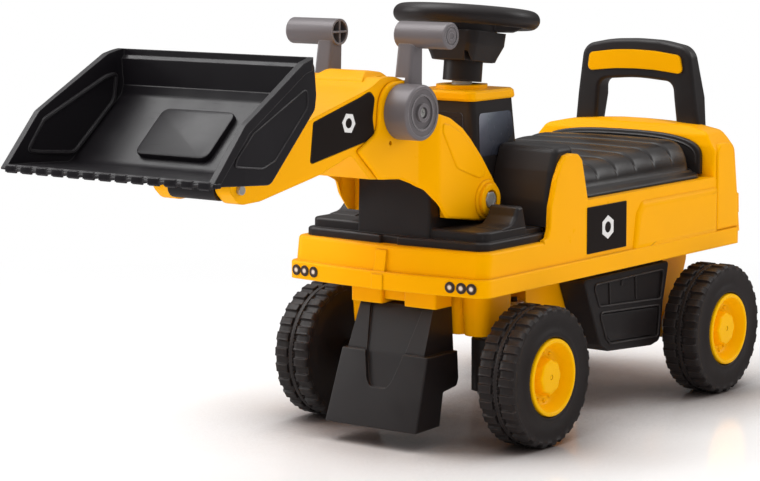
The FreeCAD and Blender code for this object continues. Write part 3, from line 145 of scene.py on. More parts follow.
# ---------------------------------------------------------------- materials
def plastic(name, colour, rough, grain, grain_height, edge_colour=None, edge=0.25, drift=0.06,
            specular=0.5, tint=WHITE, metallic=0.0, painted_recess_shade=0.0, bevel=0.0009):
    """Moulded surface: colour drift, pale worn edges, dark recesses, scuffs and fine grain.

    grain is a noise scale; grain_height and bevel are in metres; edge, drift and the painted
    recess shade are strengths from 0 to 1.
    """
    material, graph = new_material(name)
    coords = graph.coords()

    blotches = graph.noise(coords, scale=9.0, detail=3.0, roughness=0.55)[0]
    shade = graph.remap(blotches, source=(0.3, 0.7), target=(1.0 - drift, 1.0 + drift))
    base = graph.mix(factor=1.0, a=colour, b=shade, blend="MULTIPLY")

    # worn edges with a painted highlight: pale where the bevelled normal leaves the true one,
    # broken up by noise
    true_normal = graph.node("ShaderNodeNewGeometry").outputs["Normal"]
    bend = graph.vector_math("DOT_PRODUCT", graph.bevel(bevel * 1.6), true_normal)
    corner = graph.remap(bend, source=(0.999, 0.93), target=(0.0, 1.0))
    patches = graph.noise(coords, scale=60.0, detail=4.0)[0]
    patchy = graph.remap(patches, source=(0.35, 0.6), target=(0.35, 1.0))
    edge_wear_and_highlight = graph.math("MULTIPLY", graph.math("MULTIPLY", corner, patchy), edge)
    pale = edge_colour or tuple(min(1, c * 1.35 + 0.02) for c in colour[:3]) + (1,)
    base = graph.mix(factor=edge_wear_and_highlight, a=base, b=pale)

    # painted shade: the base colour darkens in recesses, driven by ambient occlusion
    if painted_recess_shade > 0:
        open_sky = graph.occlusion(distance=0.012, samples=4)
        painted_shade_amount = graph.remap(open_sky, source=(0.75, 0.15), target=(0.0, painted_recess_shade))
        base = graph.mix(factor=painted_shade_amount, a=base, b=tuple(c * 0.45 for c in colour[:3]) + (1,))

    # roughness: blotches plus long thin scuffs
    smears = graph.noise(coords, scale=35.0, detail=5.0, roughness=0.65)[0]
    roughness = graph.remap(smears, source=(0.3, 0.7),
                            target=(max(0.03, rough - 0.05), rough + 0.06))
    stretched = graph.node("ShaderNodeMapping", {
        "Vector": coords, "Scale": (40, 900, 260), "Rotation": (0.4, 0.9, 0.3)}).outputs[0]
    streaks = graph.noise(stretched, scale=1.0, detail=2.0)[0]
    scuffs = graph.remap(streaks, source=(0.66, 0.74), target=(0.0, 0.15))
    roughness = graph.math("ADD", roughness, scuffs, use_clamp=True)

    # normal: rounded corners, then grain, then a slow waviness
    fine = graph.noise(coords, scale=grain, detail=2.0)[0]
    normal = graph.bump(fine, distance=grain_height, Normal=graph.bevel(bevel))
    waves = graph.noise(coords, scale=14.0, detail=1.0)[0]
    normal = graph.bump(waves, distance=0.00016, Normal=normal)

    surface(graph, graph.principled({
        "Base Color": base, "Roughness": roughness, "Normal": normal, "Metallic": metallic,
        "Specular IOR Level": specular, "Specular Tint": tint, "Coat Roughness": 0.1}))
    return material


LAMP_XS = (0.0805, 0.0924, 0.1033)      # lamp centres on either side, metres
LAMP_Z = 0.1566
LAMP_RADIUS = 0.0036


def lamp_material():
    """Printed lamps: a pale glow in the middle that darkens to a brown edge."""
    material, graph = new_material("lamp_pale_print")
    coords = graph.coords()
    axes = graph.axes(coords)
    across = graph.math("ABSOLUTE", axes["X"])
    nearest = None
    for lamp_x in LAMP_XS:
        offset = graph.node("ShaderNodeCombineXYZ", {
            0: graph.math("SUBTRACT", across, lamp_x),
            1: graph.math("SUBTRACT", axes["Z"], LAMP_Z)}).outputs[0]
        distance = graph.vector_math("LENGTH", offset)
        nearest = graph.math("MINIMUM", nearest, distance) if nearest else distance
    glow = graph.ramp(graph.remap(nearest, source=(0.0, LAMP_RADIUS), target=(0.0, 1.0)), [
        (0.0, srgb(238, 226, 214)), (0.42, srgb(226, 206, 188)),
        (0.70, srgb(104, 84, 74)), (1.0, srgb(56, 44, 40))])
    noise = graph.noise(coords, scale=400.0, detail=2.0)
    surface(graph, graph.principled({
        "Base Color": graph.mix(factor=0.12, a=glow, b=noise["Color"], blend="OVERLAY"),
        "Roughness": graph.remap(noise[0], source=(0.3, 0.7), target=(0.2, 0.34)),
        "Normal": graph.bump(noise[0], distance=0.00002)}))
    return material


def window_material():
    """Printed windows: pale sky to a dark lower rear corner at the sides, dark on the front."""
    material, graph = new_material("window_sticker_print")
    coords = graph.coords()
    axes = graph.axes(coords)
    slant = graph.math("MULTIPLY", axes["Y"], -0.55)
    height = graph.math("ADD", axes["Z"], slant)
    side = graph.ramp(graph.remap(height, source=(0.195, 0.300), target=(0.0, 1.0)), [
        (0.0, srgb(24, 23, 27)), (0.35, srgb(44, 46, 54)), (0.62, srgb(84, 88, 98)),
        (0.82, srgb(140, 145, 154)), (1.0, srgb(176, 180, 188))])
    noise = graph.noise(coords, scale=26.0, detail=3.0)
    front = graph.ramp(noise[0], [
        (0.0, srgb(26, 25, 29)), (0.62, srgb(34, 34, 39)),
        (0.74, srgb(70, 72, 80)), (1.0, srgb(96, 98, 106))])
    facing = graph.axes(graph.node("ShaderNodeNewGeometry").outputs["True Normal"])["Y"]
    faces_front = graph.math("GREATER_THAN", graph.math("ABSOLUTE", facing), 0.6)
    picture = graph.mix(factor=faces_front, a=side, b=front)
    surface(graph, graph.principled({
        "Base Color": graph.mix(factor=0.10, a=picture, b=noise["Color"], blend="OVERLAY"),
        "Roughness": graph.remap(noise[0], source=(0.3, 0.7), target=(0.20, 0.32)),
        "Normal": graph.bump(noise[0], distance=0.00005),
        "Specular IOR Level": 0.3}))
    return material


# keyed by the frame's material slot, with three extra finishes
MATERIALS = {
    "yellow_body": plastic(
        "yellow_moulded", srgb(255, 176, 0), rough=0.32, grain=700, grain_height=0.000010,
        edge_colour=srgb(255, 194, 20), edge=0.35, drift=0.03, specular=0.20,
        tint=srgb(255, 190, 20), painted_recess_shade=0.50, bevel=0.0018),
    "yellow_hub": plastic(
        "yellow_hub_gloss", srgb(255, 190, 2), rough=0.30, grain=600, grain_height=0.000008,
        edge_colour=srgb(255, 210, 30), edge=0.35, drift=0.03, specular=0.22,
        tint=srgb(255, 196, 20), painted_recess_shade=0.55),
    "black_trim": plastic(
        "black_textured", srgb(33, 28, 28), rough=0.40, grain=1500, grain_height=0.000030,
        edge_colour=srgb(104, 96, 95), edge=0.30, drift=0.12, specular=0.42, painted_recess_shade=0.5),
    "black_bucket": plastic(
        "black_bucket_satin", srgb(24, 21, 25), rough=0.34, grain=1300, grain_height=0.000016,
        edge_colour=srgb(112, 108, 110), edge=0.40, drift=0.10, specular=0.42, painted_recess_shade=0.5),
    "black_seat": plastic(
        "black_seat_satin", srgb(30, 25, 24), rough=0.33, grain=1500, grain_height=0.000016,
        edge_colour=srgb(96, 89, 88), edge=0.25, drift=0.10, specular=0.50, painted_recess_shade=0.5),
    "tyre_black": plastic(
        "tyre_blow_moulded", srgb(38, 32, 31), rough=0.44, grain=1100, grain_height=0.00004,
        edge_colour=srgb(104, 95, 92), edge=0.34, drift=0.14, specular=0.36, painted_recess_shade=0.7,
        bevel=0.0006),
    "silver_lever": plastic(
        "silver_grey_plastic", srgb(112, 106, 108), rough=0.34, grain=1800,
        grain_height=0.000012, edge_colour=srgb(190, 186, 188), edge=0.5, drift=0.05,
        specular=0.45, metallic=0.15, painted_recess_shade=0.5),
    "steel_zinc": plastic(
        "zinc_steel", srgb(186, 184, 180), rough=0.30, grain=2600, grain_height=0.00001,
        edge_colour=srgb(240, 240, 235), edge=0.6, drift=0.08, metallic=0.55, specular=0.8,
        painted_recess_shade=0.4),
    "bush_white": plastic(
        "nylon_bush", srgb(212, 208, 196), rough=0.45, grain=900, grain_height=0.00001,
        drift=0.04, edge=0.1),
    "badge_black": plastic(
        "badge_black_print", srgb(32, 26, 24), rough=0.34, grain=500, grain_height=0.000004,
        edge_colour=srgb(80, 76, 76), edge=0.3, drift=0.05, specular=0.12),
    "badge_mark": plastic(
        "badge_pale_print", srgb(232, 230, 228), rough=0.35, grain=500,
        grain_height=0.000004, drift=0.03, edge=0.0),
    "badge_dot": plastic(
        "badge_amber_print", srgb(238, 150, 20), rough=0.35, grain=500,
        grain_height=0.000004, drift=0.03, edge=0.0, specular=0.25),
    "lamp_ring": plastic(
        "lamp_ring_print", srgb(58, 44, 38), rough=0.3, grain=500, grain_height=0.000004,
        drift=0.05),
    "cell_wrap": plastic(
        "cell_wrap", srgb(40, 60, 90), rough=0.3, grain=500, grain_height=0.000004,
        drift=0.05),
    "socket_shadow": plastic(
        "socket_shadow", srgb(16, 14, 15), rough=0.5, grain=900, grain_height=0.00001,
        drift=0.1, edge=0.1, specular=0.2),
    "lamp_lens": lamp_material(),
    "window_sticker": window_material(),
}


# ---------------------------------------------------------------- finish of the CAD pieces
def split_edges(obj, degrees):
    modifier = obj.modifiers.new("split", "EDGE_SPLIT")
    modifier.split_angle = math.radians(degrees)


def finish_cad(obj, material):
    mesh = obj.data
    mesh.materials.clear()
    mesh.materials.append(material)
    for polygon in mesh.polygons:
        polygon.use_smooth = True
        polygon.material_index = 0
    if mesh.has_custom_normals:
        bpy.context.view_layer.objects.active = obj
        obj.select_set(True)
        bpy.ops.mesh.customdata_custom_splitnormals_clear()
        obj.select_set(False)
    weld = obj.modifiers.new("weld", "WELD")
    weld.merge_threshold = 0.00002
    split_edges(obj, 28.0)


slot_of = {part["node"]: part["material_slot"] for part in frame["record"]["subparts"]}
for node_name, node_object in nodes.items():
    finish_cad(node_object, MATERIALS[slot_of[node_name]])


# ---------------------------------------------------------------- pieces and outlines
# A part is a pair (vertices, faces) in millimetres.
def place(x, y, z):
    return (x / 1000.0, y / 1000.0 + FRONT_AXLE_Y, z / 1000.0)


def node_verts(name):
    """Vertices of a CAD piece in the frame, metres."""
    obj = nodes[name]
    return [obj.matrix_world @ vertex.co for vertex in obj.data.vertices]


def piece(name, part, body, slot, sharp, replaces=None, finish=None):
    """Makes an object that rides on a body; edges over sharp degrees stay crisp."""
    verts, faces = part
    mesh = bpy.data.meshes.new(name)
    mesh.from_pydata([place(*vertex) for vertex in verts], [], faces)
    bm = bmesh.new()
    bm.from_mesh(mesh)
    bmesh.ops.recalc_face_normals(bm, faces=bm.faces)
    bm.to_mesh(mesh)
    bm.free()
    mesh.materials.append(MATERIALS[finish or slot])
    for polygon in mesh.polygons:
        polygon.use_smooth = True
    obj = bpy.data.objects.new(name, mesh)
    scene.collection.objects.link(obj)
    split_edges(obj, sharp)
    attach(obj, body)
    if replaces:
        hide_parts(replaces)


def interp(value, table):
    """Straight-line reading of a table of (position, value)."""
    for (a, at_a), (b, at_b) in zip(table, table[1:]):
        if value <= b:
            return at_a + (at_b - at_a) * (value - a) / (b - a)
    return table[-1][1]


def clamp01(value):
    return max(0.0, min(1.0, value))


def join(*parts):
    verts, faces = [], []
    for part_verts, part_faces in parts:
        start = len(verts)
        verts += list(part_verts)
        faces += [tuple(i + start for i in face) for face in part_faces]
    return verts, faces


def mirrored(part):
    return [(-x, y, z) for x, y, z in part[0]], part[1]


def both_sides(part):
    return join(part, mirrored(part))


def loft(count, size, closed=False):
    """Quads between count rings of size points; closed joins the last ring to the first."""
    faces = []
    for a in range(count if closed else count - 1):
        b = (a + 1) % count
        for k in range(size):
            q = (k + 1) % size
            faces.append((a * size + k, a * size + q, b * size + q, b * size + k))
    return faces


def capped(count, size):
    """An open loft with both ends filled."""
    return loft(count, size) + [tuple(range(size))[::-1],
                                tuple((count - 1) * size + k for k in range(size))]


def rounded(corners, steps):
    """Closed outline of (u, v) from corners (u, v, radius), each with steps segments."""
    outline = []
    for i, corner in enumerate(corners):
        before = Vector(corners[i - 1][:2])
        here = Vector(corner[:2])
        after = Vector(corners[(i + 1) % len(corners)][:2])
        back, ahead = before - here, after - here
        back_length, ahead_length = back.length, ahead.length
        back.normalize()
        ahead.normalize()
        half = math.acos(max(-1, min(1, back.dot(ahead)))) / 2
        cut = min(corner[2] / math.tan(half), 0.45 * back_length, 0.45 * ahead_length)
        start, end = here + back * cut, here + ahead * cut
        for k in range(steps + 1):
            q = k / steps
            outline.append(tuple((1 - q) ** 2 * start + 2 * q * (1 - q) * here + q * q * end))
    return outline


def resample(points, spacing, closed=True):
    out = []
    for i in range(len(points) if closed else len(points) - 1):
        a, b = Vector(points[i]), Vector(points[(i + 1) % len(points)])
        count = max(1, int((b - a).length / spacing))
        out += [tuple(a + (b - a) * q / count) for q in range(count)]
    if not closed:
        out.append(tuple(Vector(points[-1])))
    return out


def side_normals(outline):
    """Unit vectors square to the outline, to the left of its run."""
    for i in range(len(outline)):
        a, b = Vector(outline[i - 1]), Vector(outline[(i + 1) % len(outline)])
        run = (b - a).normalized()
        yield Vector((-run.y, run.x))


def bead(path, normal, width, height, closed=True, segments=8):
    """Oval bead along a 3-D path on a wall, standing out by height along the normal."""
    verts = []
    count = len(path)
    out = Vector(normal).normalized()
    for i, point in enumerate(path):
        a = Vector(path[i - 1]) if closed or i > 0 else Vector(point)
        b = Vector(path[(i + 1) % count]) if closed or i < count - 1 else Vector(point)
        across = (b - a).normalized().cross(out).normalized()
        for k in range(segments):
            angle = 2 * math.pi * k / segments
            verts.append(tuple(Vector(point) + across * (width / 2 * math.cos(angle))
                               + out * (height * math.sin(angle))))
    return verts, loft(count, segments, closed=True) if closed else capped(count, segments)


def slab(outline, base, top, inset, to_space):
    """Block on an outline with a softened top edge; to_space turns (u, v, height) to xyz."""
    rings = [(0.0, base), (0.0, top - inset), (inset * 0.3, top - inset * 0.3), (inset, top)]
    count = len(outline)
    centre = Vector((sum(p[0] for p in outline) / count, sum(p[1] for p in outline) / count))
    verts = []
    for shrink, height in rings:
        for point, inward in zip(outline, side_normals(outline)):
            if (centre - Vector(point)).dot(inward) < 0:
                inward = -inward
            moved = Vector(point) + inward * shrink
            verts.append(to_space(moved.x, moved.y, height))
    return verts, capped(len(rings), count)


def upright(u, v, height):
    return (u, v, height)


def outward(u, v, height):
    """Slab on a side wall: the outline is (y, z) and the height runs along x."""
    return (height, u, v)


def soft_side(outline, x_start, x_end, radius, z_fixed, segments=7):
    """(y, z) outline carried along x, its far edge rounded except near the foot z_fixed."""
    count = len(outline)
    area = sum(outline[i][0] * outline[(i + 1) % count][1]
               - outline[(i + 1) % count][0] * outline[i][1] for i in range(count))
    sign = 1.0 if area > 0 else -1.0
    stations = [(x_start, 0.0), (x_start + (x_end - radius - x_start) * 0.5, 0.0),
                (x_end - radius, 0.0)]
    for k in range(1, segments + 1):
        angle = math.pi / 2 * k / segments
        stations.append((x_end - radius + radius * math.sin(angle),
                         radius * (1 - math.cos(angle))))
    verts = []
    for x, inset in stations:
        for point, inward in zip(outline, side_normals(outline)):
            share = clamp01((point[1] - z_fixed) / 10.0)
            moved = Vector(point) + inward * sign * inset * share
            verts.append((x, moved.x, moved.y))
    return verts, capped(len(stations), count)


def brick(x0, x1, y0, y1, z0, z1):
    verts = [(x, y, z) for x in (x0, x1) for y in (y0, y1) for z in (z0, z1)]
    return verts, [(0, 1, 3, 2), (4, 6, 7, 5), (0, 4, 5, 1),
                   (2, 3, 7, 6), (0, 2, 6, 4), (1, 5, 7, 3)]


def rod(x0, x1, y, z, radius, segments=24):
    angles = [2 * math.pi * k / segments for k in range(segments)]
    verts = [(x, y + radius * math.sin(a), z + radius * math.cos(a))
             for x in (x0, x1) for a in angles]
    return verts, capped(2, segments)


def hex_radius(angle, flat):
    """Radius at an angle of a hexagon whose flats lie at distance flat."""
    return flat / math.cos((angle + math.pi / 6) % (math.pi / 3) - math.pi / 6)


# ---------------------------------------------------------------- wheels
AXLE_HEIGHT = 67.0
WHEEL_INNER_X = 100.0
REAR_AXLE = 329.0
# name, side, axle y, body
WHEELS = [("front_left", 1, 0.0, "wheel_fl"), ("front_right", -1, 0.0, "wheel_fr"),
          ("rear_left", 1, REAR_AXLE, "wheel_rl"), ("rear_right", -1, REAR_AXLE, "wheel_rr")]

LUG_COUNT = 26
TOOTH_COUNT = 4 * LUG_COUNT
TOOTH_RISE, TOOTH_DIP = 0.9, -0.6
# lug height round one pitch: (share of the pitch, share of the height)
LUG_SHAPE = [(0.0, 1.0), (0.045, 1.0), (0.09, 0.84), (0.40, 0.84), (0.44, 1.0), (0.485, 1.0),
             (0.525, 0.16), (0.60, 0.0), (0.90, 0.0), (0.955, 0.16), (1.0, 1.0)]
INNER_LUGS, OUTER_LUGS, INNER_TEETH, OUTER_TEETH = range(4)
# closed tyre section: (distance out from the inner face, radius[, tread row, relief scale]);
# the scale of a lug row is its groove depth
TYRE_SECTION = [
    (0, 4.08), (0, 12), (0, 30), (0, 46), (0.1, 52), (1.2, 56), (2.0, 59.6),
    (1.2, 62.0, INNER_LUGS, 0.9), (1.5, 64.6, INNER_LUGS, 1.8), (2.6, 66.2, INNER_LUGS, 2.4),
    (4.2, 67.0, INNER_LUGS, 2.7), (8, 67.0, INNER_LUGS, 2.7), (12.5, 67.0, INNER_LUGS, 2.7),
    (16.4, 67.0, INNER_LUGS, 2.7), (17.0, 66.6, INNER_LUGS, 2.7),
    (17.3, 63.6), (18.0, 63.4), (18.3, 63.4, INNER_TEETH, 1), (19.5, 64.6, INNER_TEETH, 1),
    (19.8, 65.2), (21.5, 65.5), (23.2, 65.2),
    (23.5, 64.6, OUTER_TEETH, 1), (24.7, 63.4, OUTER_TEETH, 1), (25.0, 63.4), (25.7, 63.6),
    (26.0, 66.6, OUTER_LUGS, 2.7), (26.6, 67.0, OUTER_LUGS, 2.7), (30, 67.0, OUTER_LUGS, 2.7),
    (34.5, 67.0, OUTER_LUGS, 2.7), (38.6, 67.0, OUTER_LUGS, 2.7),
    (40.2, 66.3, OUTER_LUGS, 2.4), (41.4, 64.9, OUTER_LUGS, 1.8), (41.9, 62.6, OUTER_LUGS, 0.9),
    (41.0, 59.8), (40.4, 56.5), (40.2, 52.5), (40.5, 48.5), (41.3, 45.0), (42.3, 42.6),
    (42.5, 40.6), (42.3, 38.8), (41.2, 37.6), (39.6, 37.1), (39.3, 44), (39.0, 54),
    (36.5, 58.0), (6.5, 58.0), (3, 53), (3, 10), (20, 10), (20, 4.08)]

SCALLOP_COUNT, SCALLOP_HEIGHT = 8, 0.55
# closed hub section: (distance out from the tyre's inner face, radius[, share of the scallop])
HUB_SECTION = [
    (35.0, 36.85), (42.0, 36.9), (43.4, 36.5), (44.0, 35.6), (44.1, 34.4), (43.9, 33.3),
    (43.2, 32.6), (41.6, 32.0), (38.6, 30.6), (35.0, 29.0), (32.4, 27.6), (31.0, 26.2),
    (30.4, 24.4), (30.0, 22.0), (29.8, 20.2), (30.2, 18.8),
    (31.6, 17.8, 0.5), (35.5, 16.9, 1), (38.8, 16.4, 1), (40.0, 15.8, 1), (40.6, 14.8, 1),
    (40.8, 13.4, 0.5),
    (40.8, 10.0), (40.9, 6.0), (40.9, 2.4),
    # back of the shell
    (38.6, 2.4), (38.4, 12.4), (36.0, 13.6), (28.0, 14.8), (27.4, 16.5), (27.4, 25.5),
    (29.5, 28.0), (35.0, 30.4), (39.6, 33.2), (40.0, 34.0), (35.0, 34.6)]
BOSS_X = 129.6
PLUG_X = 139.6
BOSS_SPREAD = 0.42              # radians between neighbouring bosses


def tyre_part(side, axle_y):
    count = LUG_COUNT * 32
    verts = []
    for k in range(count):
        angle = 2 * math.pi * k / count
        phase = (k * LUG_COUNT / count) % 1.0
        on_tooth = (k * TOOTH_COUNT / count) % 1.0 < 0.5
        relief = {
            INNER_LUGS: interp(phase, LUG_SHAPE) - 1,
            OUTER_LUGS: interp((phase + 0.5) % 1.0, LUG_SHAPE) - 1,
            INNER_TEETH: TOOTH_RISE if on_tooth else TOOTH_DIP,
            OUTER_TEETH: TOOTH_DIP if on_tooth else TOOTH_RISE}
        for offset, radius, *tread in TYRE_SECTION:
            if tread:
                row, scale = tread
                radius += relief[row] * scale
            verts.append((side * (WHEEL_INNER_X + offset), axle_y + radius * math.sin(angle),
                          AXLE_HEIGHT + radius * math.cos(angle)))
    return verts, loft(count, len(TYRE_SECTION), closed=True)


def dome(x, y, z, radius, height, segments=18, rings=5, sink=1.5, skirt=1.06):
    """Low round boss that points along +x, its foot sunk into the face."""
    profile = [(-sink, radius * skirt), (0.0, radius * skirt)]
    for q in range(1, rings):
        angle = q * math.pi / 2 / rings
        profile.append((height * math.sin(angle), radius * math.cos(angle)))
    verts = []
    for rise, ring_radius in profile:
        for k in range(segments):
            angle = 2 * math.pi * k / segments
            verts.append((x + rise, y + ring_radius * math.sin(angle),
                          z + ring_radius * math.cos(angle)))
    faces = loft(len(profile), segments)
    top = len(verts)
    bottom = top + 1
    verts += [(x + height, y, z), (x - sink, y, z)]
    last = (len(profile) - 1) * segments
    for k in range(segments):
        q = (k + 1) % segments
        faces += [(last + k, last + q, top), (q, k, bottom)]
    return verts, faces


def hub_part(side, axle_y):
    """Rim, stepped dish and scalloped cap, with a centre plug and two groups of three bosses."""
    count = 144
    shell = []
    for k in range(count):
        angle = 2 * math.pi * k / count
        wave = SCALLOP_HEIGHT * math.cos(SCALLOP_COUNT * angle)
        for offset, radius, *share in HUB_SECTION:
            if share:
                radius += wave * share[0]
            shell.append((WHEEL_INNER_X + offset, radius * math.sin(angle),
                          radius * math.cos(angle)))
    parts = [(shell, loft(count, len(HUB_SECTION), closed=True)),
             dome(PLUG_X, 0.0, 0.0, radius=2.3, height=1.25)]
    for middle, twist in ((0.0, 0.10), (math.pi, -0.10)):
        for spread in (-BOSS_SPREAD, 0.0, BOSS_SPREAD):
            angle = middle + spread + twist
            reach = 23.2 if spread else 24.0
            parts.append(dome(BOSS_X, reach * math.sin(angle), reach * math.cos(angle),
                              radius=2.2, height=2.4))
    verts, faces = join(*parts)
    return [(side * x, axle_y + y, AXLE_HEIGHT + z) for x, y, z in verts], faces


for wheel, side, axle_y, body in WHEELS:
    piece("tyre_skin_" + wheel, tyre_part(side, axle_y), body, "tyre_black", sharp=34,
          replaces="tyre_" + wheel)
for wheel, side, axle_y, body in WHEELS:
    piece("hub_skin_" + wheel, hub_part(side, axle_y), body, "yellow_hub", sharp=40,
          replaces="hub_" + wheel)

# ---------------------------------------------------------------- bucket mouldings
# half width of the bucket's side walls: (y, x)
INNER_WALL = [(-470, 115.0), (-408, 113.2), (-318, 106.0), (-300, 104.6)]
OUTER_WALL = [(-460, 118.5), (-448, 117.5), (-408, 116.0), (-311, 110.0), (-300, 108.0)]
# beads on the side walls: (y, z, corner radius)
INNER_PANEL = [(-424, 300, 3), (-409, 297.5, 10), (-371, 294.0, 12), (-324, 336, 14),
               (-320, 360, 8), (-333, 357.5, 10), (-404, 325, 10)]
OUTER_PANEL = [(-420.5, 300, 4), (-384, 295.5, 14), (-367.5, 300.5, 8), (-321, 341, 10),
               (-321.8, 357, 8), (-397, 324.5, 12), (-417.5, 306.5, 6)]
# sloping wall inside the bucket, rising to the rear: foot (y, z) and direction
SLOPE_FOOT = (-374, 281)
SLOPE_RUN, SLOPE_RISE = 63, 57
PAD_LIFT = 2.6
PAD = [(-41, 14, 9), (41, 14, 9), (41, 68, 9), (-41, 68, 9)]     # (x, up the slope, radius)
CORNER_Y, CORNER_Z, CORNER_HALF_WIDTH = -313.2, 338.6, 104.6
TOOTH_PITCH, LIP_TEETH, FIRST_TOOTH_X = 18, 13, -108
# each tooth has a high and a low step: base z, top z, edge inset,
# then corners (x from the tooth, y) and their radius
TOOTH_STEPS = [
    (284.6, 290.4, 1.0, [(-4.2, -452.0), (7.2, -450.6), (7.2, -443.4), (-4.2, -444.0)], 1.2),
    (285.4, 289.4, 0.8, [(6.2, -449.6), (13.2, -449.0), (13.2, -442.6), (6.2, -443.0)], 1.0)]


def on_slope(u, v, height):
    up = Vector((0, SLOPE_RUN, SLOPE_RISE)).normalized()
    out = Vector((0, -SLOPE_RISE, SLOPE_RUN)).normalized()
    point = Vector((0, *SLOPE_FOOT)) + up * v + out * (height + PAD_LIFT)
    return (u, point.y, point.z)


def cove(start, end, wall_a, wall_b, radius, segments=9, sink=0.6):
    """Hollow fillet from start to end between two walls that run away from the corner."""
    wall_a, wall_b = Vector(wall_a).normalized(), Vector(wall_b).normalized()
    half = math.acos(max(-1, min(1, wall_a.dot(wall_b)))) / 2
    reach = radius / math.tan(half)
    centre = (wall_a + wall_b).normalized() * (radius / math.sin(half))
    a, b = wall_a * reach - centre, wall_b * reach - centre
    sweep = a.angle(b)
    verts = []
    for corner in (Vector(start), Vector(end)):
        verts.append(tuple(corner - (wall_a + wall_b) * sink))
        for k in range(segments + 1):
            q = k / segments
            spoke = (a * math.sin((1 - q) * sweep) + b * math.sin(q * sweep)) / math.sin(sweep)
            verts.append(tuple(corner + centre + spoke))
    return verts, capped(2, segments + 2)


def bucket_part():
    parts = []
    # facing: -1 looks into the bucket, 1 looks out of it
    for panel, wall, facing, width, height in ((INNER_PANEL, INNER_WALL, -1, 4.6, 2.3),
                                               (OUTER_PANEL, OUTER_WALL, 1, 1.7, 0.9)):
        outline = resample(rounded(panel, steps=4), spacing=4.0)
        for side in (-1, 1):
            path = [(side * (interp(y, wall) - 0.1), y, z) for y, z in outline]
            parts.append(bead(path, (side * facing, 0, 0), width, height))
    parts.append(slab(rounded(PAD, steps=6), base=-1.0, top=7.5, inset=2.0,
                      to_space=on_slope))
    for k in range(LIP_TEETH):
        tooth_x = FIRST_TOOTH_X + TOOTH_PITCH * k
        for base, top, inset, corners, radius in TOOTH_STEPS:
            outline = rounded([(tooth_x + x, y, radius) for x, y in corners], steps=3)
            parts.append(slab(outline, base, top, inset, upright))
    # hollow corner between the slope and the back wall
    parts.append(cove((-CORNER_HALF_WIDTH, CORNER_Y, CORNER_Z),
                      (CORNER_HALF_WIDTH, CORNER_Y, CORNER_Z),
                      wall_a=(0, -SLOPE_RUN, -SLOPE_RISE), wall_b=(0, 0, 1), radius=26.0))
    return join(*parts)


piece("bucket_mouldings", bucket_part(), "bucket", "black_bucket", sharp=36)

# ---------------------------------------------------------------- cowl and deck fins
# side views: (y, z, corner radius)
COWL_SIDE = [(40.3, 201.6, 0.6), (41.6, 226, 34), (48.5, 254, 34), (56.5, 276.6, 9.5),
             (84.0, 276.6, 6.5), (93.0, 256, 9), (101.4, 225.0, 1.0), (101.4, 222.1, 0.3),
             (86.0, 222.1, 0.3), (86.0, 201.6, 0.3)]
FIN_SIDE = [(-27, 203.5, 0.5), (-26, 206.6, 2), (-12, 208.6, 14), (-4.5, 216, 8),
            (-0.5, 224.6, 4), (8.6, 224.6, 3.5), (11.4, 214, 6), (12.2, 203.5, 0.5)]

cowl = soft_side(rounded(COWL_SIDE, steps=7), x_start=42.3, x_end=107.8, radius=6.4,
                 z_fixed=206.0)
cowl_plate = brick(-42.8, 42.8, 93.6, 96.0, 222.4, 240.0)
piece("cowl_skin", join(both_sides(cowl), cowl_plate), "chassis", "black_trim", sharp=38,
      replaces="cowl_block")

fin = soft_side(rounded(FIN_SIDE, steps=7), x_start=71.0, x_end=102.6, radius=3.4,
                z_fixed=205.0)
piece("deck_foot_fins", both_sides(fin), "chassis", "black_trim", sharp=38)

# ---------------------------------------------------------------- seat lid
SEAT_HALF_WIDTH = 105.5
SEAT_FRONT, SEAT_REAR = 112.2, 344.6
FRONT_CORNER, REAR_CORNER = 6.0, 24.0
CORNER_SWITCH_Y = 228           # the rear corner radius holds behind this
SEAT_UNDERSIDE = 222.15
SKIN = 3.4                      # thickness under the pad
FLANGE_Z = 228.6
PAD_INSET = 10.2                # from the edge of the lid to the foot of the pad
LINE_INSET, LINE_HALF_WIDTH, LINE_HEIGHT = 8.7, 1.7, 2.1
SEAM_START, SEAM_PITCH, SEAM_COUNT = 146, 35.5, 6
SEAM_HALF_WIDTH, SEAM_DEPTH = 1.5, 2.5
SEAM_BOW = 5.5                  # how far the seams bend back near the pad's edge
PUFF = 1.1                      # swell between seams
COLUMN_SPREAD = 0.8             # draws grid columns towards the sides as it rises
HINGE_X = (52.0, 70.0)
HINGE_Y = 107.0
BAND_REAR_Y, BAND_LINE_Y = 344.9, 339.4


def seat_half_width(y):
    def narrowed(into_corner, radius):
        q = min(1.0, into_corner / radius)
        return SEAT_HALF_WIDTH - radius * (1 - math.sqrt(max(0.0, 1 - q * q)))
    if y > SEAT_REAR - REAR_CORNER:
        return narrowed(y - (SEAT_REAR - REAR_CORNER), REAR_CORNER)
    if y < SEAT_FRONT + FRONT_CORNER:
        return narrowed((SEAT_FRONT + FRONT_CORNER) - y, FRONT_CORNER)
    return SEAT_HALF_WIDTH


def seat_inset(x, y):
    """Distance inwards from the edge of the lid."""
    radius = REAR_CORNER if y > CORNER_SWITCH_Y else FRONT_CORNER
    past_x = abs(x) - (SEAT_HALF_WIDTH - radius)
    past_y = (abs(y - (SEAT_FRONT + SEAT_REAR) / 2)
              - ((SEAT_REAR - SEAT_FRONT) / 2 - radius))
    return radius - math.hypot(max(past_x, 0), max(past_y, 0)) - min(max(past_x, past_y), 0)


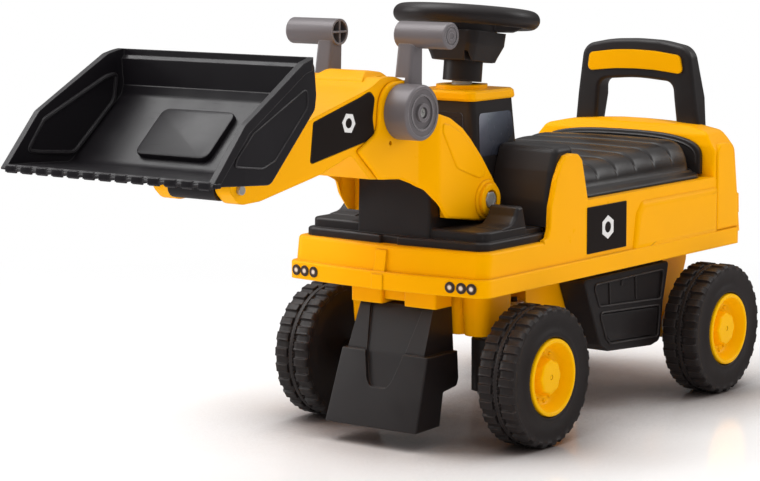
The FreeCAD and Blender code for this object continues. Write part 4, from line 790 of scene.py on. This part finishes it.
def seat_top(x, y):
    """Height of the lid: chamfered flange, thin raised line, then the padded top."""
    inset = seat_inset(x, y)
    if inset < 1.0:
        return 223.6 + 2.0 * inset
    if inset < 7.5:
        return 225.6 + 3.0 * (inset - 1.0) / 6.5
    if inset < PAD_INSET:
        return FLANGE_Z + LINE_HEIGHT * math.cos(
            (inset - LINE_INSET) / LINE_HALF_WIDTH * math.pi / 2)
    into_pad = inset - PAD_INSET
    pad_height = 25.0 + 8.2 * clamp01((y - 150) / 150.0)
    from_side = (SEAT_HALF_WIDTH - abs(x)) - PAD_INSET
    from_end = min((SEAT_REAR - y) - PAD_INSET, ((y - SEAT_FRONT) - 4.0) * 1.6)
    # 1 at the foot of the pad, 0 where its shoulders are passed
    shoulder = min(1.0, math.hypot(clamp01(1 - from_side / 30.0), clamp01(1 - from_end / 15.0)))
    rise = pad_height * (1 - shoulder ** 3.0) ** (1 / 1.9)
    crown = -2.2 * (abs(x) / 95.0) ** 2
    bow = SEAM_BOW * (1.0 - min(1.0, into_pad / 26.0))
    seam = SEAM_DEPTH * max(
        math.exp(-(abs(y - (SEAM_START + SEAM_PITCH * k + bow)) / SEAM_HALF_WIDTH) ** 2)
        for k in range(SEAM_COUNT))
    puff = PUFF * math.sin(math.pi * (((y - SEAM_START) / SEAM_PITCH) % 1.0))
    fade = min(1.0, into_pad / 5.0)
    return FLANGE_Z + rise + crown * (1 - shoulder) + (puff - seam) * fade


def lid_shell():
    """Top and underside as two grids, closed round the rim."""
    columns, rows = ((190, 230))
    stride = columns + 1
    layer = stride * (rows + 1)
    top, underside = [], []
    for j in range(rows + 1):
        y = SEAT_FRONT + (SEAT_REAR - SEAT_FRONT) * (j / rows)
        half_width = seat_half_width(y)
        for i in range(stride):
            u = -1 + 2 * i / columns
            x = (half_width * math.sin(u * math.pi / 2 * COLUMN_SPREAD)
                 / math.sin(math.pi / 2 * COLUMN_SPREAD))
            z = seat_top(x, y)
            top.append((x, y, z))
            underside.append((x, y, SEAT_UNDERSIDE if seat_inset(x, y) < 9.0 else z - SKIN))
    faces = []
    for j in range(rows):
        for i in range(columns):
            a = j * stride + i
            quad = (a, a + 1, a + stride + 1, a + stride)
            faces.append(quad)
            faces.append(tuple(layer + quad[k] for k in (0, 3, 2, 1)))
    for a in range(columns):
        b = rows * stride + a
        faces.append((a, layer + a, layer + a + 1, a + 1))
        faces.append((b, b + 1, layer + b + 1, layer + b))
    for j in range(rows):
        a = j * stride
        b = a + columns
        faces.append((a, a + stride, layer + a + stride, layer + a))
        faces.append((b, layer + b, layer + b + stride, b + stride))
    return top + underside, faces


def arch(half_width, foot_z, shoulder_z, top_z, steps=26):
    """(x, z) outline: a shallow arc that runs into rounded shoulders, on straight legs."""
    outline = [(-half_width, foot_z)]
    for i in range(steps + 1):
        angle = math.pi * (1 - i / steps)
        c, s = math.cos(angle), math.sin(angle)
        x = half_width * math.copysign(abs(c) ** 0.62, c)
        lift = abs(s) ** 0.42
        z = shoulder_z + (top_z - shoulder_z) * lift - 2.5 * (x / half_width) ** 2 * lift
        outline.append((x, z))
    outline.append((half_width, foot_z))
    return outline


def seat_part():
    # band that stands up behind the pad, with a thin line on its front face
    band = slab(arch(99.5, foot_z=224.5, shoulder_z=232.0, top_z=267.0),
                base=0.0, top=5.6, inset=1.6,
                to_space=lambda u, v, height: (u, BAND_REAR_Y - height, v))
    line = resample(arch(94.0, foot_z=228.0, shoulder_z=232.0, top_z=262.0),
                    spacing=3.0, closed=False)[2:-2]
    band_line = bead([(x, BAND_LINE_Y, z) for x, z in line], (0, -1, 0),
                     width=2.0, height=1.1, closed=False)
    hinge_rod = rod(*HINGE_X, HINGE_Y, 226.5, radius=4.0)
    hinge_leaf = brick(*HINGE_X, HINGE_Y, 114.0, 224.5, 228.0)
    return join(band, band_line, lid_shell(), both_sides(hinge_rod), both_sides(hinge_leaf))


piece("seat_lid_skin", seat_part(), "seat", "black_seat", sharp=50, replaces="seat_lid")

# ---------------------------------------------------------------- side steps and panels
# outlines on the side walls: (y, z, corner radius)
UPPER_FRAME = [(134.5, 133.5, 5), (267.5, 133.5, 5), (261.5, 103.5, 5), (145.5, 110.5, 5)]
LOWER_FRAME = [(145.5, 104.5, 5), (260.5, 97.5, 5), (256.5, 65.5, 5), (166, 70.5, 8),
               (157.5, 78, 5)]
LOWER_PANEL = [(148, 102, 4), (258, 95.5, 4), (254.5, 68, 4), (167, 73, 7), (160, 80, 4)]
STEP_BLOCK = [(188, 131.8, 1), (197, 131.8, 1), (197, 126, 1), (188, 126, 1)]
BODY_PANEL = [(181.8, 150, 7), (190.6, 200.5, 9), (201.5, 212.6, 10), (352.6, 212.6, 7),
              (352.6, 150, 7)]
STEP_FACE_X, STEP_RIB_X, STEP_BASE_X = 100.4, 98.9, 98.4


def step_part():
    parts = []
    for frame_outline, height in ((UPPER_FRAME, 1.5), (LOWER_FRAME, 1.7)):
        outline = resample(rounded(frame_outline, steps=6), spacing=3.0)
        parts.append(bead([(STEP_FACE_X, y, z) for y, z in outline], (1, 0, 0),
                          width=2.4, height=height))
    parts.append(slab(rounded(LOWER_PANEL, steps=5), base=STEP_BASE_X, top=100.12, inset=0.4,
                      to_space=outward))
    for y in (166.0, 215.0):
        parts.append(bead([(STEP_RIB_X, y, 132.0), (STEP_RIB_X, y + 1.5, 109.0)], (1, 0, 0),
                          width=2.2, height=1.3, closed=False))
    parts.append(slab(rounded(STEP_BLOCK, steps=3), base=STEP_BASE_X, top=99.7, inset=0.4,
                      to_space=outward))
    return both_sides(join(*parts))


piece("side_step_frames", step_part(), "chassis", "black_trim", sharp=40)

body_panel = slab(rounded(BODY_PANEL, steps=6), base=110.3, top=116.08, inset=5.6,
                  to_space=outward)
piece("side_panel_edges", both_sides(body_panel), "chassis", "yellow_body", sharp=50)

# ---------------------------------------------------------------- boom bolt heads
BOLT_Y, BOLT_Z = 8.5, 228.0
HEAD_RADIUS, SOCKET_RADIUS, SOCKET_DEPTH = 8.6, 5.6, 2.0
CORNER_TO_FLAT = 0.8660254      # hexagon: flat distance over corner radius
FLOOR_RADIUS = 5.2              # corner radius of the dark socket floor


def hex_head(x_start, x_end, segments=36):
    """Hexagon head with a hexagon socket, its face at x_end."""
    rings = [(x_start, HEAD_RADIUS, True), (x_end - 1.0, HEAD_RADIUS, True),
             (x_end - 0.2, HEAD_RADIUS * 0.93, True), (x_end, HEAD_RADIUS * 0.86, False),
             (x_end, SOCKET_RADIUS * 1.02, True), (x_end - SOCKET_DEPTH, SOCKET_RADIUS, True)]
    verts = []
    for x, radius, is_hexagon in rings:
        for k in range(segments):
            angle = 2 * math.pi * k / segments
            reach = hex_radius(angle, radius * CORNER_TO_FLAT) if is_hexagon else radius
            verts.append((x, BOLT_Y + reach * math.sin(angle),
                          BOLT_Z + reach * math.cos(angle)))
    return verts, capped(len(rings), segments)


def socket_floor(face_x):
    corners = [(BOLT_Y + FLOOR_RADIUS * math.sin(k * math.pi / 3),
                BOLT_Z + FLOOR_RADIUS * math.cos(k * math.pi / 3), 0.2) for k in range(6)]
    return slab(rounded(corners, steps=1), base=0.0, top=1.2, inset=0.2,
                to_space=lambda u, v, height: (face_x - SOCKET_DEPTH + height, u, v))


# how far the bolt reaches to the left and the nut to the right
bolt_reach = max(v.x for v in node_verts("boom_bolt")) * 1000
nut_reach = max(-v.x for v in node_verts("boom_nut")) * 1000
bolt_head, nut_head = (hex_head(reach - 2.5, reach + 0.6) for reach in (bolt_reach, nut_reach))
piece("boom_bolt_hexagons", join(bolt_head, mirrored(nut_head)), "chassis", "steel_zinc",
      sharp=30)
bolt_floor, nut_floor = (socket_floor(reach + 0.6) for reach in (bolt_reach, nut_reach))
piece("boom_bolt_sockets", join(bolt_floor, mirrored(nut_floor)), "chassis", "steel_zinc",
      sharp=30, finish="socket_shadow")


# ---------------------------------------------------------------- printed hexagon marks
def nut_mark(name, centre, along, up, size, body, segments=36):
    """Flat hexagon with a round hole, standing just proud of a badge."""
    centre, along, up = Vector(centre), Vector(along).normalized(), Vector(up).normalized()
    out = along.cross(up).normalized()
    angles = [2 * math.pi * k / segments for k in range(segments)]
    outer = [hex_radius(angle, size * 0.92) for angle in angles]
    inner = [size * 0.50] * segments
    verts = []
    for height in (-0.25, 0.22):
        for radii in (outer, inner):
            for angle, radius in zip(angles, radii):
                spoke = along * math.cos(angle) + up * math.sin(angle)
                verts.append(tuple(centre + spoke * radius + out * height))
    faces = []
    for k in range(segments):
        q = (k + 1) % segments
        # this step's and the next step's points on the four rings
        low_out, low_in, top_out, top_in = (ring * segments + k for ring in range(4))
        low_out2, low_in2, top_out2, top_in2 = (ring * segments + q for ring in range(4))
        faces += [(low_out, low_out2, low_in2, low_in), (top_out, top_in, top_in2, top_out2),
                  (low_out, top_out, top_out2, low_out2), (low_in, low_in2, top_in2, top_in)]
    piece(name, (verts, faces), body, "badge_black", sharp=30, finish="badge_mark")


SIDES = ((1, "left"), (-1, "right"))
ARM_TILT = 0.42

badge_x = max(v.x for v in node_verts("side_badges")) * 1000
for side, side_name in SIDES:
    nut_mark("side_badge_mark_" + side_name, (side * badge_x, 138.0, 192.0),
             along=(0, side, 0), up=(0, 0, 1), size=11.0, body="chassis")

# middle of the outermost face of the left arm panel
arm_verts = node_verts("arm_side_panels")
arm_x = max(v.x for v in arm_verts) * 1000
arm_face = [v for v in arm_verts if v.x * 1000 > arm_x - 0.3]
arm_y = ((min(v.y for v in arm_face) + max(v.y for v in arm_face)) / 2 * 1000
         - FRONT_AXLE_Y * 1000)
arm_z = (min(v.z for v in arm_face) + max(v.z for v in arm_face)) / 2 * 1000
for side, side_name in SIDES:
    nut_mark("arm_panel_mark_" + side_name, (side * arm_x, arm_y + 8, arm_z + 3),
             along=(0, side, ARM_TILT), up=(0, -ARM_TILT, 1), size=9.0, body="arm")


# ---------------------------------------------------------------- floor, light, camera
def grey(value):
    return (value, value, value, 1)


def make_floor():
    """White sheet with a painted contact shadow near the object, burning out to white away from
    it.
    """
    bm = bmesh.new()
    bmesh.ops.create_grid(bm, x_segments=1, y_segments=1, size=30.0)
    mesh = bpy.data.meshes.new("floor")
    bm.to_mesh(mesh)
    bm.free()
    floor = bpy.data.objects.new("floor", mesh)
    scene.collection.objects.link(floor)
    floor.location = (0, 0, -0.0002)

    material, graph = new_material("floor_white")
    # painted shadow: occlusion darkens the floor colour and dims its glow near the object
    open_sky = graph.occlusion(distance=0.16, samples=8)
    shade = graph.ramp(open_sky, [
        (0.0, (0.10, 0.078, 0.070, 1)), (0.45, (0.30, 0.25, 0.235, 1)),
        (0.80, (0.74, 0.70, 0.69, 1)), (1.0, (0.96, 0.955, 0.96, 1))])
    glossy = graph.node("ShaderNodeLightPath").outputs["Is Glossy Ray"]
    not_glossy = graph.math("SUBTRACT", 1.0, glossy)
    glow = graph.remap(open_sky, source=(0.55, 1.0), target=(0.0, 0.26))
    sheet = graph.principled({
        # reflections see a dim floor
        "Base Color": graph.mix(factor=glossy, a=shade, b=(0.30, 0.29, 0.29, 1)),
        "Roughness": 0.13, "Specular IOR Level": 0.40, "Emission Color": WHITE,
        "Emission Strength": graph.math("MULTIPLY", glow, not_glossy)})
    distance = graph.vector_math("LENGTH", graph.coords())
    far = graph.remap(distance, source=(0.62, 1.25), target=(0.0, 1.0))
    burnt_out = graph.node("ShaderNodeEmission", {0: WHITE, 1: 1.0}).outputs[0]
    surface(graph, graph.mix_shader(graph.math("MULTIPLY", far, not_glossy),
                                    sheet, burnt_out))
    mesh.materials.append(material)


def make_world():
    """White to the camera, softer for diffuse light, a dim room with a bright top in gloss."""
    world = bpy.data.worlds.new("studio")
    scene.world = world
    world.use_nodes = True
    graph = Graph(world.node_tree)

    def background(colour, strength):
        return graph.node("ShaderNodeBackground", {0: colour, 1: strength}).outputs[0]

    rays = graph.node("ShaderNodeLightPath").outputs
    height = graph.axes(graph.coords("Generated"))["Z"]
    room = graph.ramp(graph.remap(height, source=(-1, 1), target=(0.0, 1.0)), [
        (0.0, grey(0.04)), (0.52, grey(0.05)), (0.68, grey(0.16)), (0.80, grey(0.62)),
        (1.0, grey(1.15))])
    lighting = graph.mix_shader(rays["Is Glossy Ray"], background(WHITE, strength=0.74),
                                background(room, strength=1.0))
    shader = graph.mix_shader(rays["Is Camera Ray"], lighting,
                              background(WHITE, strength=1.0))
    graph.node("ShaderNodeOutputWorld", {0: shader})


def area_light(name, location, target, size, power):
    light = bpy.data.lights.new(name, "AREA")
    light.energy = power
    light.shape = "RECTANGLE"
    light.size = size
    light.size_y = size
    obj = bpy.data.objects.new(name, light)
    scene.collection.objects.link(obj)
    obj.location = location
    obj.rotation_mode = "QUATERNION"
    obj.rotation_quaternion = (Vector(target) - Vector(location)).to_track_quat("-Z", "Y")


def make_camera():
    azimuth, elevation, roll = (math.radians(a) for a in (37.4433, 7.8779, -0.1889))
    location = (1.4034, -1.9120 + FRONT_AXLE_Y, 0.5130)
    back = Vector((math.sin(azimuth) * math.cos(elevation),
                   -math.cos(azimuth) * math.cos(elevation), math.sin(elevation)))
    forward = -back
    level = forward.cross(Vector((0, 0, 1))).normalized()
    upward = level.cross(forward)
    right = math.cos(roll) * level + math.sin(roll) * upward
    up = -math.sin(roll) * level + math.cos(roll) * upward
    data = bpy.data.cameras.new("cam")
    camera = bpy.data.objects.new("cam", data)
    scene.collection.objects.link(camera)
    data.sensor_width = 36.0
    data.sensor_fit = "HORIZONTAL"
    data.lens = 117.8369053
    rows = [(*row, 1.0 * place_) for *row, place_ in zip(right, up, back, location)]
    camera.matrix_world = Matrix((*rows, (0, 0, 0, 1)))
    scene.camera = camera


make_floor()
make_world()
area_light("key_top", (-0.95, -0.65, 2.35), target=(0, -0.1, 0.2), size=1.9, power=36)
area_light("side_left", (-2.4, -1.2, 1.1), target=(0, -0.1, 0.25), size=1.2, power=16)
area_light("rear_right", (1.7, 2.1, 1.5), target=(0, 0.2, 0.25), size=1.1, power=14)
make_camera()
scene.view_settings.view_transform = "Standard"
scene.view_settings.look = "None"
scene.cycles.use_denoising = True
